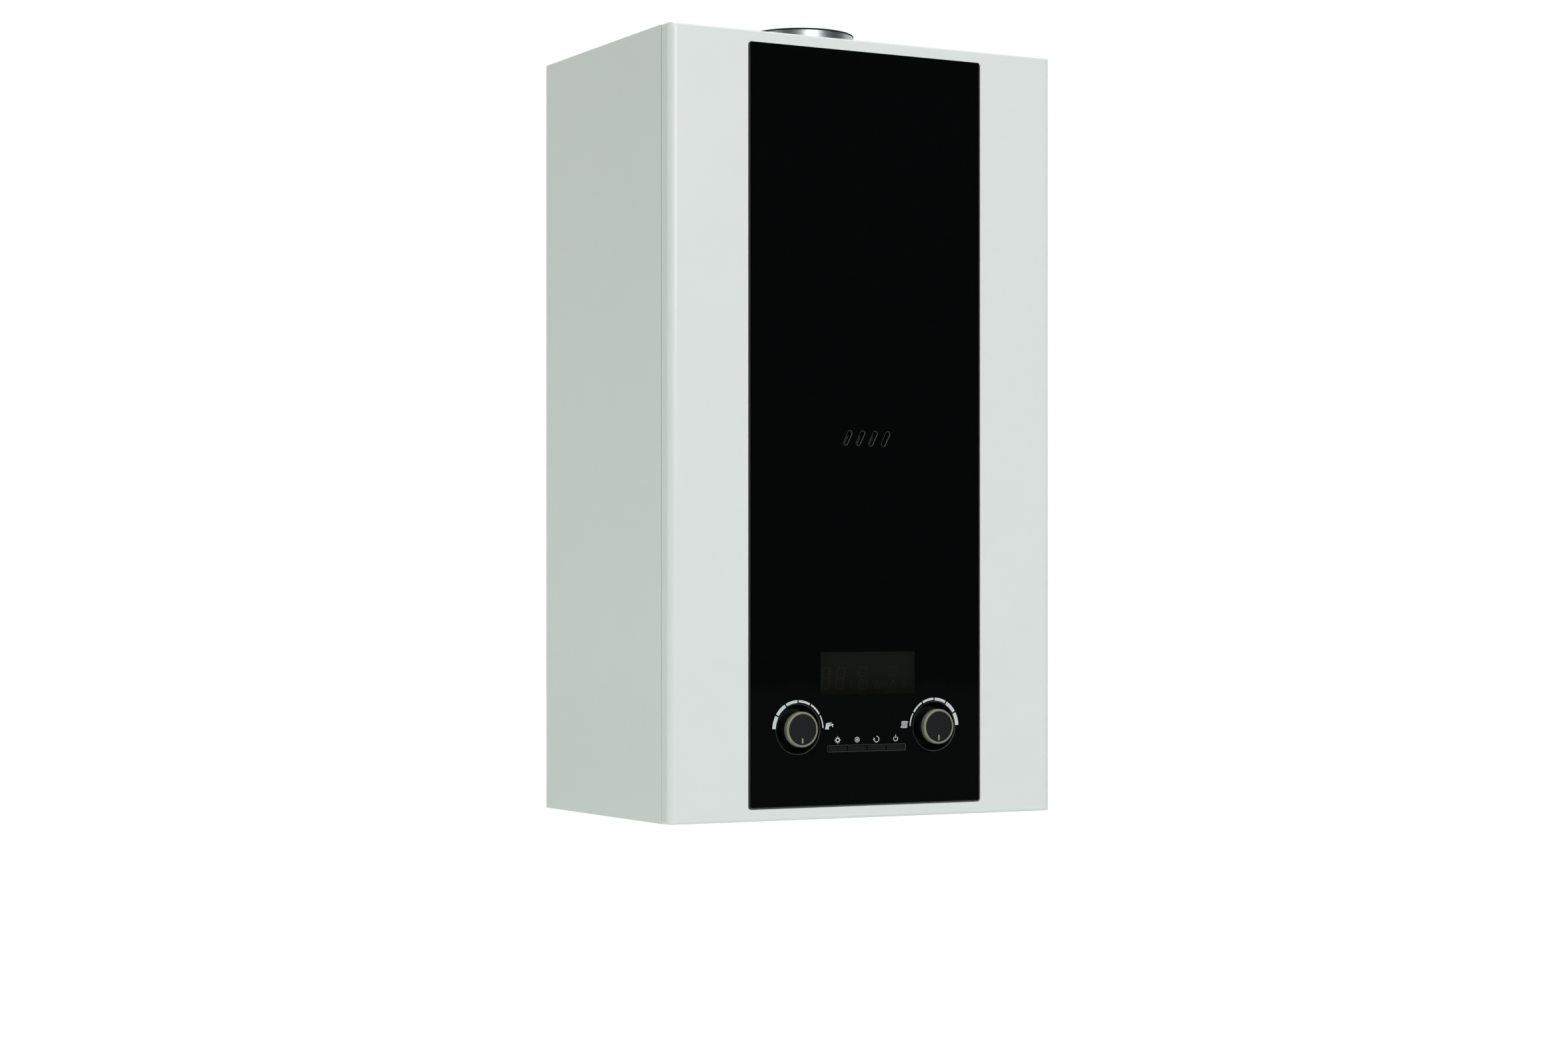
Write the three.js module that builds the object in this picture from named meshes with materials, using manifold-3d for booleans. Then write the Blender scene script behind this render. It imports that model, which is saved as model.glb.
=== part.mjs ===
// A wall-hung gas boiler with a glass front, built as the assembly that comes apart on a bench.
// Sizes are in millimetres. +X is to the right seen from the front, +Y points into the wall and
// +Z is up. Heights are counted from the casing's lower edge, and depths (setbacks) from the wall.
// The whole boiler is then let down, so that the origin lies on the wall plane, midway between
// the two slots that it hangs on.

import * as THREE from 'three';
import { mergeVertices } from 'three/addons/utils/BufferGeometryUtils.js';
import Module from 'manifold-3d';

const wasm = await Module();
wasm.setup();

// Sizes that drive the boiler

const casing = { width: 400, height: 707, depth: 264 };
const sheet = 1;
const fit = 0.3;
const overrun = 2;
const mergeDistance = 1e-3;

const cover = { depth: 16.6, seam: 1, sideRadius: 8, edgeRadius: 4, cornerRadius: 4, lip: 9 };
const glass = { width: 241.4, lowMargin: 11.9, topMargin: 10.3, thickness: 4, gap: 0.9, cornerRadius: 2 };
const controlOpening = { width: 212, low: 38, high: 168, radius: 6 };
const viewSlot = { width: 3.8, length: 14, pitch: 13.25, count: 4, levelShare: 0.2886, leanAngle: 26.8 };
const viewOpening = { width: 70, height: 26, radius: 3 };

// Casing sheets

const back = { sheet: 1.2, flange: 15, bend: 2.4, foot: 6, hangDrop: 47 };
const hangSlot = { width: 32, height: 13, spacing: 230, radius: 3 };
const rib = { spacing: 140, width: 26, low: 320, drop: 67, depth: 4, radius: 8 };
const side = { frontFlange: 14, bend: 2.2, footFlange: 11, footMargin: 18, rearRadius: 4 };
const roof = { drop: 0.3, flange: 14, cornerRadius: 2 };
const tongue = { spacing: 240, width: 30, length: 12, drop: 1.8 };
const bottom = { level: 28, flange: 15, cornerRadius: 3 };
const airFloor = { level: 184, flange: 6, pipeGap: 1.5 };
const lid = { low: 182, emboss: 4, embossMargin: 32.4, embossLow: 214, embossDrop: 37, embossRadius: 20 };
const sight = { width: 60, height: 16, radius: 2, glassMargin: 7, glassThickness: 3 };

// Controls

const dial = { spread: 142.8, height: 81.9 };
const well = { floorRadius: 18.5, depth: 12, wall: 2, mouthMargin: 0.3 };
const dialHole = { radius: 22.3 };
const ring = { radius: 16, bore: 14, top: 9.2, height: 5.6, bevel: 1.4, bevelDepth: 1 };
const knob = {
  faceDrop: 0.4, chamfer: 0.6, skirtRadius: 15.2, skirtFoot: 8.6, wall: 1.8, crown: 2.2,
  hubRadius: 5.6, hubFoot: 9.5,
};
const pointer = { width: 1.5, length: 4.8, depth: 0.4, inset: 1.2 };
const shaft = { radius: 3, foot: 34, top: 4.5, clearance: 0.4 };

const button = { width: 19.4, height: 4.2, gap: 0.9, count: 4, level: 63.6, proud: 0.4, radius: 0.5 };
const buttonKey = { flangeMargin: 1.6, flangeThickness: 1.6, stemWidth: 4, stemHeight: 3.6 };
const buttonSlot = { clearance: 0.4, travelGap: 0.9 };

const display = {
  width: 98.8, height: 38.2, level: 131.8, shift: 1.2, depth: 9, rim: 4, rimThickness: 1.6,
};

const box = {
  height: 148.7, depth: 49.9, wall: 2.5, sideGap: 1, radius: 5, postRadius: 3.5, postInset: 12,
};
const fascia = { thickness: 2.5, bossMarginX: 4, bossMarginZ: 6, bossRadius: 4 };
const cableHole = { radius: 9, spread: 240, height: 60 };

const board = { width: 240, low: 40, high: 152, thickness: 1.6, back: 16.6 };
const dialBase = { side: 15, depth: 8, bore: 3.6 };
const tact = { side: 6.5, bodyHeight: 4, height: 8.7, plungerRadius: 1.7 };
const transformer = { centre: 92, level: 130, width: 42, height: 34, depth: 22, core: 26, coreDepth: 18 };
const relay = { first: -106, level: 134, width: 12, height: 28, depth: 15, pitch: 17, count: 3 };
const terminals = {
  centre: 0, level: 46, width: 180, height: 9, depth: 10, pitch: 30, notch: 20, lip: 0.5,
};

// Flue

const flue = { setback: 138, radius: 50, wall: 1.2, rise: 20.7, skirt: 6, holeMargin: 2 };
const flueFlange = { radius: 64, thickness: 1.2 };
const flueSeal = { overhang: 0.9, width: 2.8, thickness: 1.8, crown: 0.5 };
const spigot = { radius: 30, wall: 1, rise: 15, plate: 1.2, plateMargin: 4 };

// Combustion

const burner = {
  low: 229, height: 65, width: 220, frontInset: 5, rearInset: 7, sheet: 2, stripLow: 40, stripHigh: 58,
};
const blade = {
  count: 7, pitch: 30, thickness: 13, mouth: 22, neck: 17, throat: 10, headLow: 34, lip: 3, slots: 2,
  slotWidth: 30, slotDepth: 5, rearRise: 24, rearRun: 20,
};
const chamber = { width: 230, lidGap: 39.1, vesselGap: 21.5, drop: 237, lip: 5, radius: 3 };
const insulation = { thickness: 10 };
const exchanger = {
  height: 70, width: 222, inset: 5, sheet: 1.4, finCount: 8, finPitch: 26, fin: 1.4,
  finMargin: 5, tubeRadius: 8, tubeCount: 3, tubePitch: 34, stub: 3,
};
const hood = {
  skirt: 8, shoulder: 26, plenumDepth: 37, plenumDrop: 107, drop: 19,
  plenumLeft: 98, plenumRight: 36, wall: 1,
};
const volute = {
  axisX: -38, axisDrop: 67, drop: 17, depth: 46, wall: 1.5, startRadius: 47, outletHalf: 30,
  intake: 34, shaftHole: 6, steps: 12, leftShare: 0.667,
};
const impeller = {
  radius: 41, depth: 34, plate: 1.2, bladeCount: 10, bladeInner: 31, sweepAngle: 20, blade: 1.2,
  shroud: 1.5, hubRadius: 9, hubDepth: 16, shaftRadius: 3, shaftLength: 24, shaftGap: 0.4,
};
const motor = { radius: 32, depth: 42, capRadius: 26, capDepth: 8, boss: 12, bossDepth: 4 };

const manifold = {
  height: 240, size: 16, radius: 3, overhang: 3, ear: 2, nozzleRadius: 3.5, nozzleTip: 1.5, nozzleLength: 6,
};
const electrode = {
  spread: -40, rise: 17, radius: 4, flange: 8, flangeDepth: 2, tail: 20, reach: 14, wire: 1, wireLength: 22,
  gap: 0.6,
};
const chamberBracket = { width: 22, drop: 70, height: 40, sheet: 1.2, reach: 150 };

// Water and gas

const union = {
  setback: 75, pitch: 65, low: 3, high: 48, bigRadius: 13.2, bigBore: 9.5, smallRadius: 10.4,
  smallBore: 7, flange: 3, flangeHeight: 4, nut: 5, nutHeight: 9, holeGap: 1,
};
const group = { height: 28, depth: 34, reach: 20 };
const port = { radius: 8, level: 64, near: 60, far: 84 };
const plates = {
  width: 190, height: 76, low: 50, count: 5, pitch: 6.8, plate: 2, inset: 1.6, radius: 14, gap: 13,
};
const diverter = { x: -132, radius: 15, high: 128, portLevel: 104, portRadius: 11, portReach: 29 };
const actuator = { width: 44, depth: 40, height: 34, radius: 8, cap: 13, capHeight: 8 };
const pump = {
  x: 118, height: 118, radius: 44, front: 95, depth: 35, outletX: 132, outletRadius: 11, outletHigh: 168,
};
const pumpMotor = {
  radius: 38, depth: 62, nose: 14, noseDepth: 5, step: 8, stepRadius: 42, boxWidth: 38, boxHeight: 17,
  boxDepth: 44,
};
const airVent = { wallGap: 28.7, radius: 12, low: 96, high: 150, cap: 5, capHeight: 10, bridge: 12 };
const safety = {
  x: 60, level: 62, radius: 9, front: 122, capRadius: 13, capDepth: 14, recess: 2, flutes: 6, flute: 2.4,
};
const filling = {
  x: 97.5, radius: 7, low: 22, spindle: 3, spindleLow: 12, knobRadius: 11, knobLow: 7, flutes: 6,
  flute: 2.6, gap: 0.4,
};
const gasValve = {
  width: 60, front: 112, rear: 55, high: 118, radius: 6, coilSpread: 30, coilSetback: 72, coilRadius: 12,
  coilHeight: 24, governorLevel: 84, governorRadius: 16, governorDepth: 20, outletSetback: 98,
  outletRadius: 9.5, outletRise: 6,
};
const copper = { radius: 8.5, bend: 15, bendHigh: 205 };
const gasPipe = { radius: 7, bend: 14, bendHigh: 207 };
const vessel = {
  width: 210, low: 215, drop: 67, depth: 58, bevel: 16, corner: 40, seam: 4, seamDepth: 3,
  stubX: 98, stubRadius: 6, stubLevel: 142, stubBend: 12,
};
const pressureSwitch = { radius: 28, depth: 22, rim: 3, rimDepth: 6, nipple: 3, nippleLength: 8 };
const pressureTube = { radius: 3, bend: 10 };
const gland = { x: -98, setback: 150, radius: 9, bore: 4, nut: 4, nutHeight: 6, dome: 12, tail: 10 };

// Shapes and solids

const span = (centre, size) => [centre - size / 2, centre + size / 2];
const from = (low, size) => [low, low + size];
const grown = (range, margin) => [range[0] - margin, range[1] + margin];
const middle = (range) => (range[0] + range[1]) / 2;
const extent = (range) => range[1] - range[0];
const half = (size) => size / 2;

// A closed three.js geometry as a solid that can be joined and cut, with its faces turned outwards.
function solidOf(geometry) {
  const bare = new THREE.BufferGeometry();
  bare.setAttribute('position', geometry.getAttribute('position'));
  bare.setIndex(geometry.index);
  const merged = mergeVertices(bare, mergeDistance);
  const position = merged.getAttribute('position').array;
  const corners = merged.index.array;
  const kept = [];
  for (let i = 0; i < corners.length; i += 3) {
    const [a, b, c] = [corners[i], corners[i + 1], corners[i + 2]];
    if (a !== b && b !== c && c !== a) kept.push(a, b, c);
  }
  const solid = meshSolid(position, kept);
  return solid.volume() > 0 ? solid : meshSolid(position, kept.reverse());
}

function meshSolid(position, corners) {
  const vertProperties = new Float32Array(position);
  const triVerts = new Uint32Array(corners);
  return new wasm.Manifold(new wasm.Mesh({ numProp: 3, vertProperties, triVerts }));
}

const joined = (...solids) => solids.flat().reduce((whole, next) => whole.add(next));
const less = (solid, ...cuts) => cuts.flat().reduce((rest, next) => rest.subtract(next), solid);
const common = (...solids) => solids.reduce((whole, next) => whole.intersect(next));

function block(x, y, z) {
  const geometry = new THREE.BoxGeometry(extent(x), extent(y), extent(z));
  return solidOf(geometry.translate(middle(x), middle(y), middle(z)));
}

// Turns a geometry built along +Y so that its axis lies along x, y or z, and moves it sideways to
// where that axis crosses the plane square to it.
function toAxis(geometry, axis, [u, v]) {
  if (axis === 'z') return geometry.rotateX(Math.PI / 2).translate(u, v, 0);
  if (axis === 'x') return geometry.rotateZ(-Math.PI / 2).translate(0, u, v);
  return geometry.translate(u, 0, v);
}

// A round bar along an axis: at is its place in the plane square to the axis.
function rod(axis, at, radius, range, sides = 10, endRadius = radius) {
  const geometry = new THREE.CylinderGeometry(endRadius, radius, extent(range), sides);
  return solidOf(toAxis(geometry.translate(0, middle(range), 0), axis, at));
}

// A turned piece: profile points are [radius, place along the axis].
function turned(axis, at, profile, sides = 14) {
  const points = profile.map(([radius, along]) => new THREE.Vector2(radius, along));
  return solidOf(toAxis(new THREE.LatheGeometry(points, sides), axis, at));
}

// A flat outline pushed along an axis. The outline is drawn in [x, y], [x, z] or [y, z].
function pushed(shape, axis, range, curveSegments = 1) {
  const options = { depth: extent(range), bevelEnabled: false, curveSegments };
  const geometry = new THREE.ExtrudeGeometry(shape, options);
  if (axis === 'z') geometry.translate(0, 0, range[0]);
  if (axis === 'y') geometry.rotateX(Math.PI / 2).translate(0, range[1], 0);
  if (axis === 'x') geometry.rotateX(Math.PI / 2).rotateZ(Math.PI / 2).translate(range[0], 0, 0);
  return solidOf(geometry);
}

function roundedOutline(u, v, radius) {
  const shape = new THREE.Shape();
  shape.absarc(u[1] - radius, v[1] - radius, radius, 0, Math.PI / 2);
  shape.absarc(u[0] + radius, v[1] - radius, radius, Math.PI / 2, Math.PI);
  shape.absarc(u[0] + radius, v[0] + radius, radius, Math.PI, 1.5 * Math.PI);
  shape.absarc(u[1] - radius, v[0] + radius, radius, 1.5 * Math.PI, 2 * Math.PI);
  return shape;
}

const roundedBlock = (axis, u, v, range, radius, curveSegments) =>
  pushed(roundedOutline(u, v, radius), axis, range, curveSegments);

function polygon(points) {
  return new THREE.Shape(points.map(([u, v]) => new THREE.Vector2(u, v)));
}

// A row of evenly spaced places, centred on zero.
const row = (count, pitch) => Array.from({ length: count }, (_, i) => (i - half(count - 1)) * pitch);

const around = (count) => Array.from({ length: count }, (_, i) => (2 * Math.PI * i) / count);

// The points of a line whose inner corners are rounded to a radius.
function softened(points, radius, steps = 2) {
  const line = points.map(([u, v]) => new THREE.Vector2(u, v));
  return line.flatMap((corner, i) => {
    if (i === 0 || i === line.length - 1 || radius <= 0) return [corner];
    const before = line[i - 1].clone().sub(corner).normalize();
    const after = line[i + 1].clone().sub(corner).normalize();
    const halfAngle = Math.acos(before.dot(after)) / 2;
    const start = corner.clone().addScaledVector(before, radius / Math.tan(halfAngle));
    const toCentre = before.clone().add(after).setLength(radius / Math.sin(halfAngle));
    const centre = corner.clone().add(toCentre);
    const sense = Math.sign(before.cross(after));
    const turn = -sense * (Math.PI - 2 * halfAngle);
    return Array.from(
      { length: steps + 1 }, (_, k) => start.clone().rotateAround(centre, (turn * k) / steps),
    );
  });
}

// The cross-section of bent sheet metal: a line of square bends, thickened to its left.
function bentSheet(points, thickness, radius) {
  const line = points.map(([u, v]) => new THREE.Vector2(u, v));
  const normals = line.slice(1).map((p, i) => {
    const along = p.clone().sub(line[i]).normalize();
    return new THREE.Vector2(-along.y, along.x).multiplyScalar(thickness);
  });
  const inner = line.map((p, i) => {
    const before = normals[Math.max(i - 1, 0)];
    const after = normals[Math.min(i, normals.length - 1)];
    const corner = p.clone().add(before);
    if (before !== after) corner.add(after);
    return [corner.x, corner.y];
  });
  const outside = softened(points, radius);
  const inside = softened(inner, Math.max(radius - thickness, 0));
  return new THREE.Shape([...outside, ...inside.reverse()]);
}

// A path with rounded corners whose steps fall only where the pipe bends.
class BentPath extends THREE.Curve {
  constructor(corners, radius, steps = 3) {
    super();
    const line = corners.map((p) => new THREE.Vector3(...p));
    this.stations = line.flatMap((corner, i) => {
      if (i === 0 || i === line.length - 1) return [corner];
      const before = line[i - 1].clone().sub(corner).normalize();
      const after = line[i + 1].clone().sub(corner).normalize();
      const halfAngle = before.angleTo(after) / 2;
      const reach = radius / Math.tan(halfAngle);
      const start = corner.clone().addScaledVector(before, reach);
      const end = corner.clone().addScaledVector(after, reach);
      const centre = before.clone().add(after).setLength(radius / Math.sin(halfAngle)).add(corner);
      const spoke = start.clone().sub(centre);
      const axis = spoke.clone().cross(end.sub(centre)).normalize();
      const turn = Math.PI - 2 * halfAngle;
      return Array.from({ length: steps + 1 }, (_, k) =>
        spoke.clone().applyAxisAngle(axis, (turn * k) / steps).add(centre));
    });
  }

  get steps() {
    return this.stations.length - 1;
  }

  getPoint(t, target = new THREE.Vector3()) {
    const place = t * this.steps;
    const i = Math.min(Math.floor(place), this.steps - 1);
    return target.lerpVectors(this.stations[i], this.stations[i + 1], place - i);
  }

  getPointAt(u, target) {
    return this.getPoint(u, target);
  }

  // The direction halfway between the two stretches that meet at a station.
  getTangentAt(u, target = new THREE.Vector3()) {
    const i = Math.round(u * this.steps);
    const before = this.stations[Math.max(i - 1, 0)];
    const here = this.stations[i];
    const after = this.stations[Math.min(i + 1, this.steps)];
    const incoming = here.clone().sub(i > 0 ? before : here).normalize();
    const outgoing = after.clone().sub(i < this.steps ? here : after).normalize();
    return target.copy(incoming).add(outgoing).normalize();
  }
}

// A bent pipe, solid because both its ends butt against the pieces that it joins.
function pipe(corners, radius, bendRadius, sides = 8) {
  const path = new BentPath(corners, bendRadius);
  const section = new THREE.Shape();
  section.absarc(0, 0, radius, 0, 2 * Math.PI);
  const options = {
    steps: path.steps,
    curveSegments: half(sides),
    bevelEnabled: false,
    extrudePath: path,
  };
  return solidOf(new THREE.ExtrudeGeometry(section, options));
}

// Places that several pieces share

const front = -casing.depth;
const height = [0, casing.height];
const belowTop = (drop) => casing.height - drop;
const coverBack = front + cover.depth;
const panelFront = coverBack + cover.seam;
const glassBack = front + glass.thickness;
const recessBack = glassBack + fit + sheet;
const fasciaFront = recessBack + fit;
const fasciaBack = fasciaFront + fascia.thickness;
const bossFront = glassBack + fit;
const innerHalf = half(casing.width) - sheet - fit;
const innerFront = panelFront + sheet + fit;
const roofTop = belowTop(roof.drop);
const tongueHeight = [roofTop - tongue.drop - sheet, roofTop - tongue.drop];
const backFront = -back.sheet;
const floorHalf = innerHalf - back.sheet - fit;
const plateTop = bottom.level + sheet;
const dialX = [-half(dial.spread), half(dial.spread)];
const buttonX = row(button.count, button.width + button.gap);
const slotWidth = button.count * (button.width + button.gap) - button.gap;
const unionNames = ['heating_flow', 'hot_water', 'gas', 'cold_water', 'heating_return'];
const unionX = row(unionNames.length, union.pitch);
const glassHeight = [glass.lowMargin, belowTop(glass.topMargin)];
const hangHeight = belowTop(back.hangDrop);
const fanLevel = belowTop(volute.axisDrop);
const fanAt = [volute.axisX, fanLevel];
const voluteTop = belowTop(volute.drop);

// The combustion chamber stands on the burner and fills what the lid and the vessel leave in depth
const vesselFront = -(back.sheet + rib.depth + fit + vessel.depth);
const vesselMiddle = vesselFront + half(vessel.depth);
const chamberY = [innerFront + sheet + chamber.lidGap, vesselFront - chamber.vesselGap];
const burnerTop = burner.low + burner.height;
const chamberZ = [burnerTop + fit, belowTop(chamber.drop)];
const burnerY = [chamberY[0] + burner.frontInset, chamberY[1] - burner.rearInset];
const viewLevel = THREE.MathUtils.lerp(chamberZ[0], chamberZ[1], viewSlot.levelShare);

// Front cover and glass

// A box whose side, top and bottom edges towards the front are rounded, each pair with its radius.
function coverForm(x, y, z, sideRadius, edgeRadius, cornerRadius) {
  const deep = [y[0], y[1] + 2 * cover.sideRadius];
  return common(
    roundedBlock('z', x, deep, z, sideRadius, 2),
    roundedBlock('x', deep, z, x, edgeRadius),
    roundedBlock('y', x, z, y, cornerRadius),
  );
}

function viewSlots(y) {
  const lean = THREE.MathUtils.degToRad(viewSlot.leanAngle);
  const radius = half(viewSlot.width);
  return row(viewSlot.count, viewSlot.pitch).map((x) => {
    const shape = new THREE.Shape();
    const reach = half(viewSlot.length - viewSlot.width);
    const tip = new THREE.Vector2(Math.sin(lean), Math.cos(lean)).multiplyScalar(reach);
    const at = new THREE.Vector2(x, viewLevel);
    shape.absarc(at.x + tip.x, at.y + tip.y, radius, -lean, Math.PI - lean);
    shape.absarc(at.x - tip.x, at.y - tip.y, radius, Math.PI - lean, 2 * Math.PI - lean);
    return pushed(shape, 'y', y);
  });
}

function buttonOpening(y) {
  const x = grown(span(0, slotWidth), buttonSlot.clearance);
  const z = grown(span(button.level, button.height), buttonSlot.clearance);
  return roundedBlock('y', x, z, y, button.radius);
}

function frontCover() {
  const x = span(0, casing.width);
  const skin = coverForm(
    x, [front, coverBack], height, cover.sideRadius, cover.edgeRadius, cover.cornerRadius,
  );
  const hollow = coverForm(
    grown(x, -sheet), [front + sheet, coverBack - sheet], grown(height, -sheet),
    cover.sideRadius - sheet, cover.edgeRadius - sheet, cover.cornerRadius - sheet,
  );
  const mouth = block(
    grown(x, -cover.lip), [coverBack - sheet - overrun, coverBack + overrun], grown(height, -cover.lip),
  );
  const glassX = grown(span(0, glass.width), glass.gap);
  const glassZ = grown(glassHeight, glass.gap);
  const tray = roundedBlock(
    'y', grown(glassX, sheet), grown(glassZ, sheet), [front + half(sheet), recessBack],
    glass.cornerRadius + sheet,
  );
  const recess = roundedBlock('y', glassX, glassZ, [front - overrun, glassBack + fit], glass.cornerRadius);
  const controls = roundedBlock(
    'y', span(0, controlOpening.width), [controlOpening.low, controlOpening.high],
    [glassBack, recessBack + overrun], controlOpening.radius,
  );
  const view = roundedBlock(
    'y', span(0, viewOpening.width), span(viewLevel, viewOpening.height),
    [glassBack, recessBack + overrun], viewOpening.radius,
  );
  const hooks = [-1, 1].map((s) => block(
    grown(span(s * half(tongue.spacing), tongue.width), fit),
    [coverBack - sheet - overrun, coverBack + overrun],
    grown(tongueHeight, fit),
  ));
  return less(joined(less(skin, hollow, mouth), tray), recess, controls, view, hooks);
}

function glassPanel() {
  const pane = roundedBlock('y', span(0, glass.width), glassHeight, [front, glassBack], glass.cornerRadius);
  const through = grown([front, glassBack], overrun);
  const dials = dialX.map((x) => rod('y', [x, dial.height], dialHole.radius, through, 24));
  return less(pane, dials, viewSlots(through), buttonOpening(through));
}

// Casing sheets

function backFrame() {
  const section = bentSheet(
    [[innerHalf, -back.flange], [innerHalf, 0], [-innerHalf, 0], [-innerHalf, -back.flange]],
    back.sheet, back.bend,
  );
  const top = roofTop - roof.flange - fit;
  const plate = pushed(section, 'z', [back.foot, top]);
  const z = [rib.low, belowTop(rib.drop)];
  const ribs = [-1, 1].map((s) => {
    const x = span(s * half(rib.spacing), rib.width);
    return [
      roundedBlock('y', x, z, [backFront - rib.depth, backFront], rib.radius),
      roundedBlock(
        'y', grown(x, -back.sheet), grown(z, -back.sheet), [-rib.depth, overrun], rib.radius - back.sheet,
      ),
    ];
  });
  const slots = [-1, 1].map((s) => roundedBlock(
    'y', span(s * half(hangSlot.spacing), hangSlot.width), span(hangHeight, hangSlot.height),
    grown([backFront, 0], overrun), hangSlot.radius,
  ));
  return less(joined(plate, ribs.map(([ridge]) => ridge)), ribs.map(([, groove]) => groove), slots);
}

function sidePanel(s) {
  const outer = s * half(casing.width);
  const line = [[outer - s * side.frontFlange, panelFront], [outer, panelFront], [outer, 0]];
  const section = bentSheet(s > 0 ? line : line.reverse(), sheet, side.bend);
  const rounding = roundedBlock(
    'x', [2 * front, 0], [0, 2 * casing.height], grown(span(0, casing.width), overrun), side.rearRadius,
  );
  const foot = block(
    [outer - s * side.footFlange, outer - s * half(sheet)].sort((a, b) => a - b),
    grown([panelFront, 0], -side.footMargin), [0, sheet],
  );
  return joined(common(pushed(section, 'z', height), rounding), foot);
}

function roofPanel() {
  const x = span(0, 2 * innerHalf);
  const y = [innerFront, 0];
  const pan = roundedBlock('z', x, y, [roofTop - roof.flange, roofTop], roof.cornerRadius);
  const hollow = block(
    grown(x, -sheet), [innerFront - overrun, -sheet], [roofTop - roof.flange - overrun, roofTop - sheet],
  );
  const tongues = [-1, 1].map((s) => {
    const tab = span(s * half(tongue.spacing), tongue.width);
    return [
      block(tab, [innerFront - tongue.length, innerFront + sheet], tongueHeight),
      block(tab, [innerFront, innerFront + sheet], [tongueHeight[0], roofTop - half(sheet)]),
    ];
  });
  const hole = rod(
    'z', [0, -flue.setback], flue.radius + flue.holeMargin, [roofTop - sheet - overrun, roofTop + overrun],
    32,
  );
  return less(joined(less(pan, hollow), tongues.flat()), hole);
}

function bottomPlate() {
  const x = span(0, 2 * floorHalf);
  const y = [innerFront, backFront - fit];
  const low = plateTop - bottom.flange;
  const pan = roundedBlock('z', x, y, [low, plateTop], bottom.cornerRadius);
  const hollow = roundedBlock(
    'z', grown(x, -sheet), grown(y, -sheet), [low - overrun, bottom.level], bottom.cornerRadius - sheet,
  );
  const holes = unionX.map((ux, i) => rod(
    'z', [ux, -union.setback], unionRadius(i) + union.holeGap, grown([bottom.level, plateTop], overrun),
  ));
  const tap = rod(
    'z', [filling.x, -union.setback], filling.radius + union.holeGap,
    grown([bottom.level, plateTop], overrun),
  );
  const glandHole = rod(
    'z', [gland.x, -gland.setback], gland.radius + union.holeGap, grown([bottom.level, plateTop], overrun),
  );
  return less(pan, hollow, holes, tap, glandHole);
}

function airChamberFloor() {
  const x = span(0, 2 * floorHalf);
  const y = [innerFront + sheet + fit, backFront - fit];
  const top = airFloor.level + sheet;
  const pan = roundedBlock('z', x, y, [top - airFloor.flange, top], bottom.cornerRadius);
  const hollow = roundedBlock(
    'z', grown(x, -sheet), grown(y, -sheet), [top - airFloor.flange - overrun, airFloor.level],
    bottom.cornerRadius - sheet,
  );
  const through = grown([airFloor.level, top], overrun);
  const holes = [
    rod('z', [diverter.x, frontTubeY], copper.radius + airFloor.pipeGap, through),
    rod('z', [pump.outletX, -union.setback], copper.radius + airFloor.pipeGap, through),
    rod('z', [0, -gasValve.outletSetback], gasPipe.radius + airFloor.pipeGap, through),
    rod('z', [vessel.stubX, vesselMiddle], vessel.stubRadius + airFloor.pipeGap, through),
  ];
  return less(pan, hollow, holes);
}

function airChamberLid() {
  const x = span(0, 2 * (innerHalf - sheet - fit));
  const y = [innerFront, innerFront + sheet];
  const plate = roundedBlock('y', x, [lid.low, tongueHeight[0] - fit], y, bottom.cornerRadius);
  const raised = [grown(x, -lid.embossMargin), [lid.embossLow, belowTop(lid.embossDrop)]];
  const emboss = roundedBlock('y', ...raised, [y[0] - lid.emboss, y[1]], lid.embossRadius);
  const hollow = roundedBlock(
    'y', ...raised.map((range) => grown(range, -sheet)), [y[0] - lid.emboss + sheet, y[1] + overrun],
    lid.embossRadius - sheet,
  );
  const window = roundedBlock(
    'y', span(0, sight.width), span(viewLevel, sight.height),
    [y[0] - lid.emboss - overrun, y[1]], sight.radius,
  );
  return less(joined(plate, emboss), hollow, window);
}

function sightGlass() {
  const rear = innerFront - lid.emboss + sheet + fit;
  return roundedBlock(
    'y', grown(span(0, sight.width), sight.glassMargin),
    grown(span(viewLevel, sight.height), sight.glassMargin),
    from(rear, sight.glassThickness), sight.radius,
  );
}

// Flue

function flueCollar() {
  const bore = flue.radius - flue.wall;
  const seat = from(roofTop + fit, flueFlange.thickness);
  const rim = casing.height + flue.rise;
  return turned('z', [0, -flue.setback], [
    [bore, roofTop - flue.skirt], [flue.radius, roofTop - flue.skirt], [flue.radius, seat[0]],
    [flueFlange.radius, seat[0]], [flueFlange.radius, seat[1]], [flue.radius, seat[1]],
    [flue.radius, rim], [bore, rim], [bore, roofTop - flue.skirt],
  ], 22);
}

function flueSealRing() {
  const outer = flue.radius + flueSeal.overhang;
  const inner = outer - flueSeal.width;
  const low = casing.height + flue.rise + fit;
  const high = low + flueSeal.thickness;
  return turned('z', [0, -flue.setback], [
    [inner, low], [outer, low], [outer, high - flueSeal.crown], [outer - flueSeal.crown, high],
    [inner + flueSeal.crown, high], [inner, high - flueSeal.crown], [inner, low],
  ], 22);
}

function flueSpigot() {
  const low = voluteTop + fit;
  const top = casing.height + spigot.rise;
  const at = [0, -flue.setback];
  const plate = roundedBlock(
    'z', grown(span(0, 2 * volute.outletHalf), spigot.plateMargin),
    grown(span(-flue.setback, 2 * spigot.radius), spigot.plateMargin),
    from(low, spigot.plate), spigot.plateMargin,
  );
  const tube = rod('z', at, spigot.radius, [low, top], 20);
  const bore = rod('z', at, spigot.radius - spigot.wall, grown([low, top], overrun), 20);
  return less(joined(plate, tube), bore);
}

// Control box, with the dials, the buttons and the display

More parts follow.
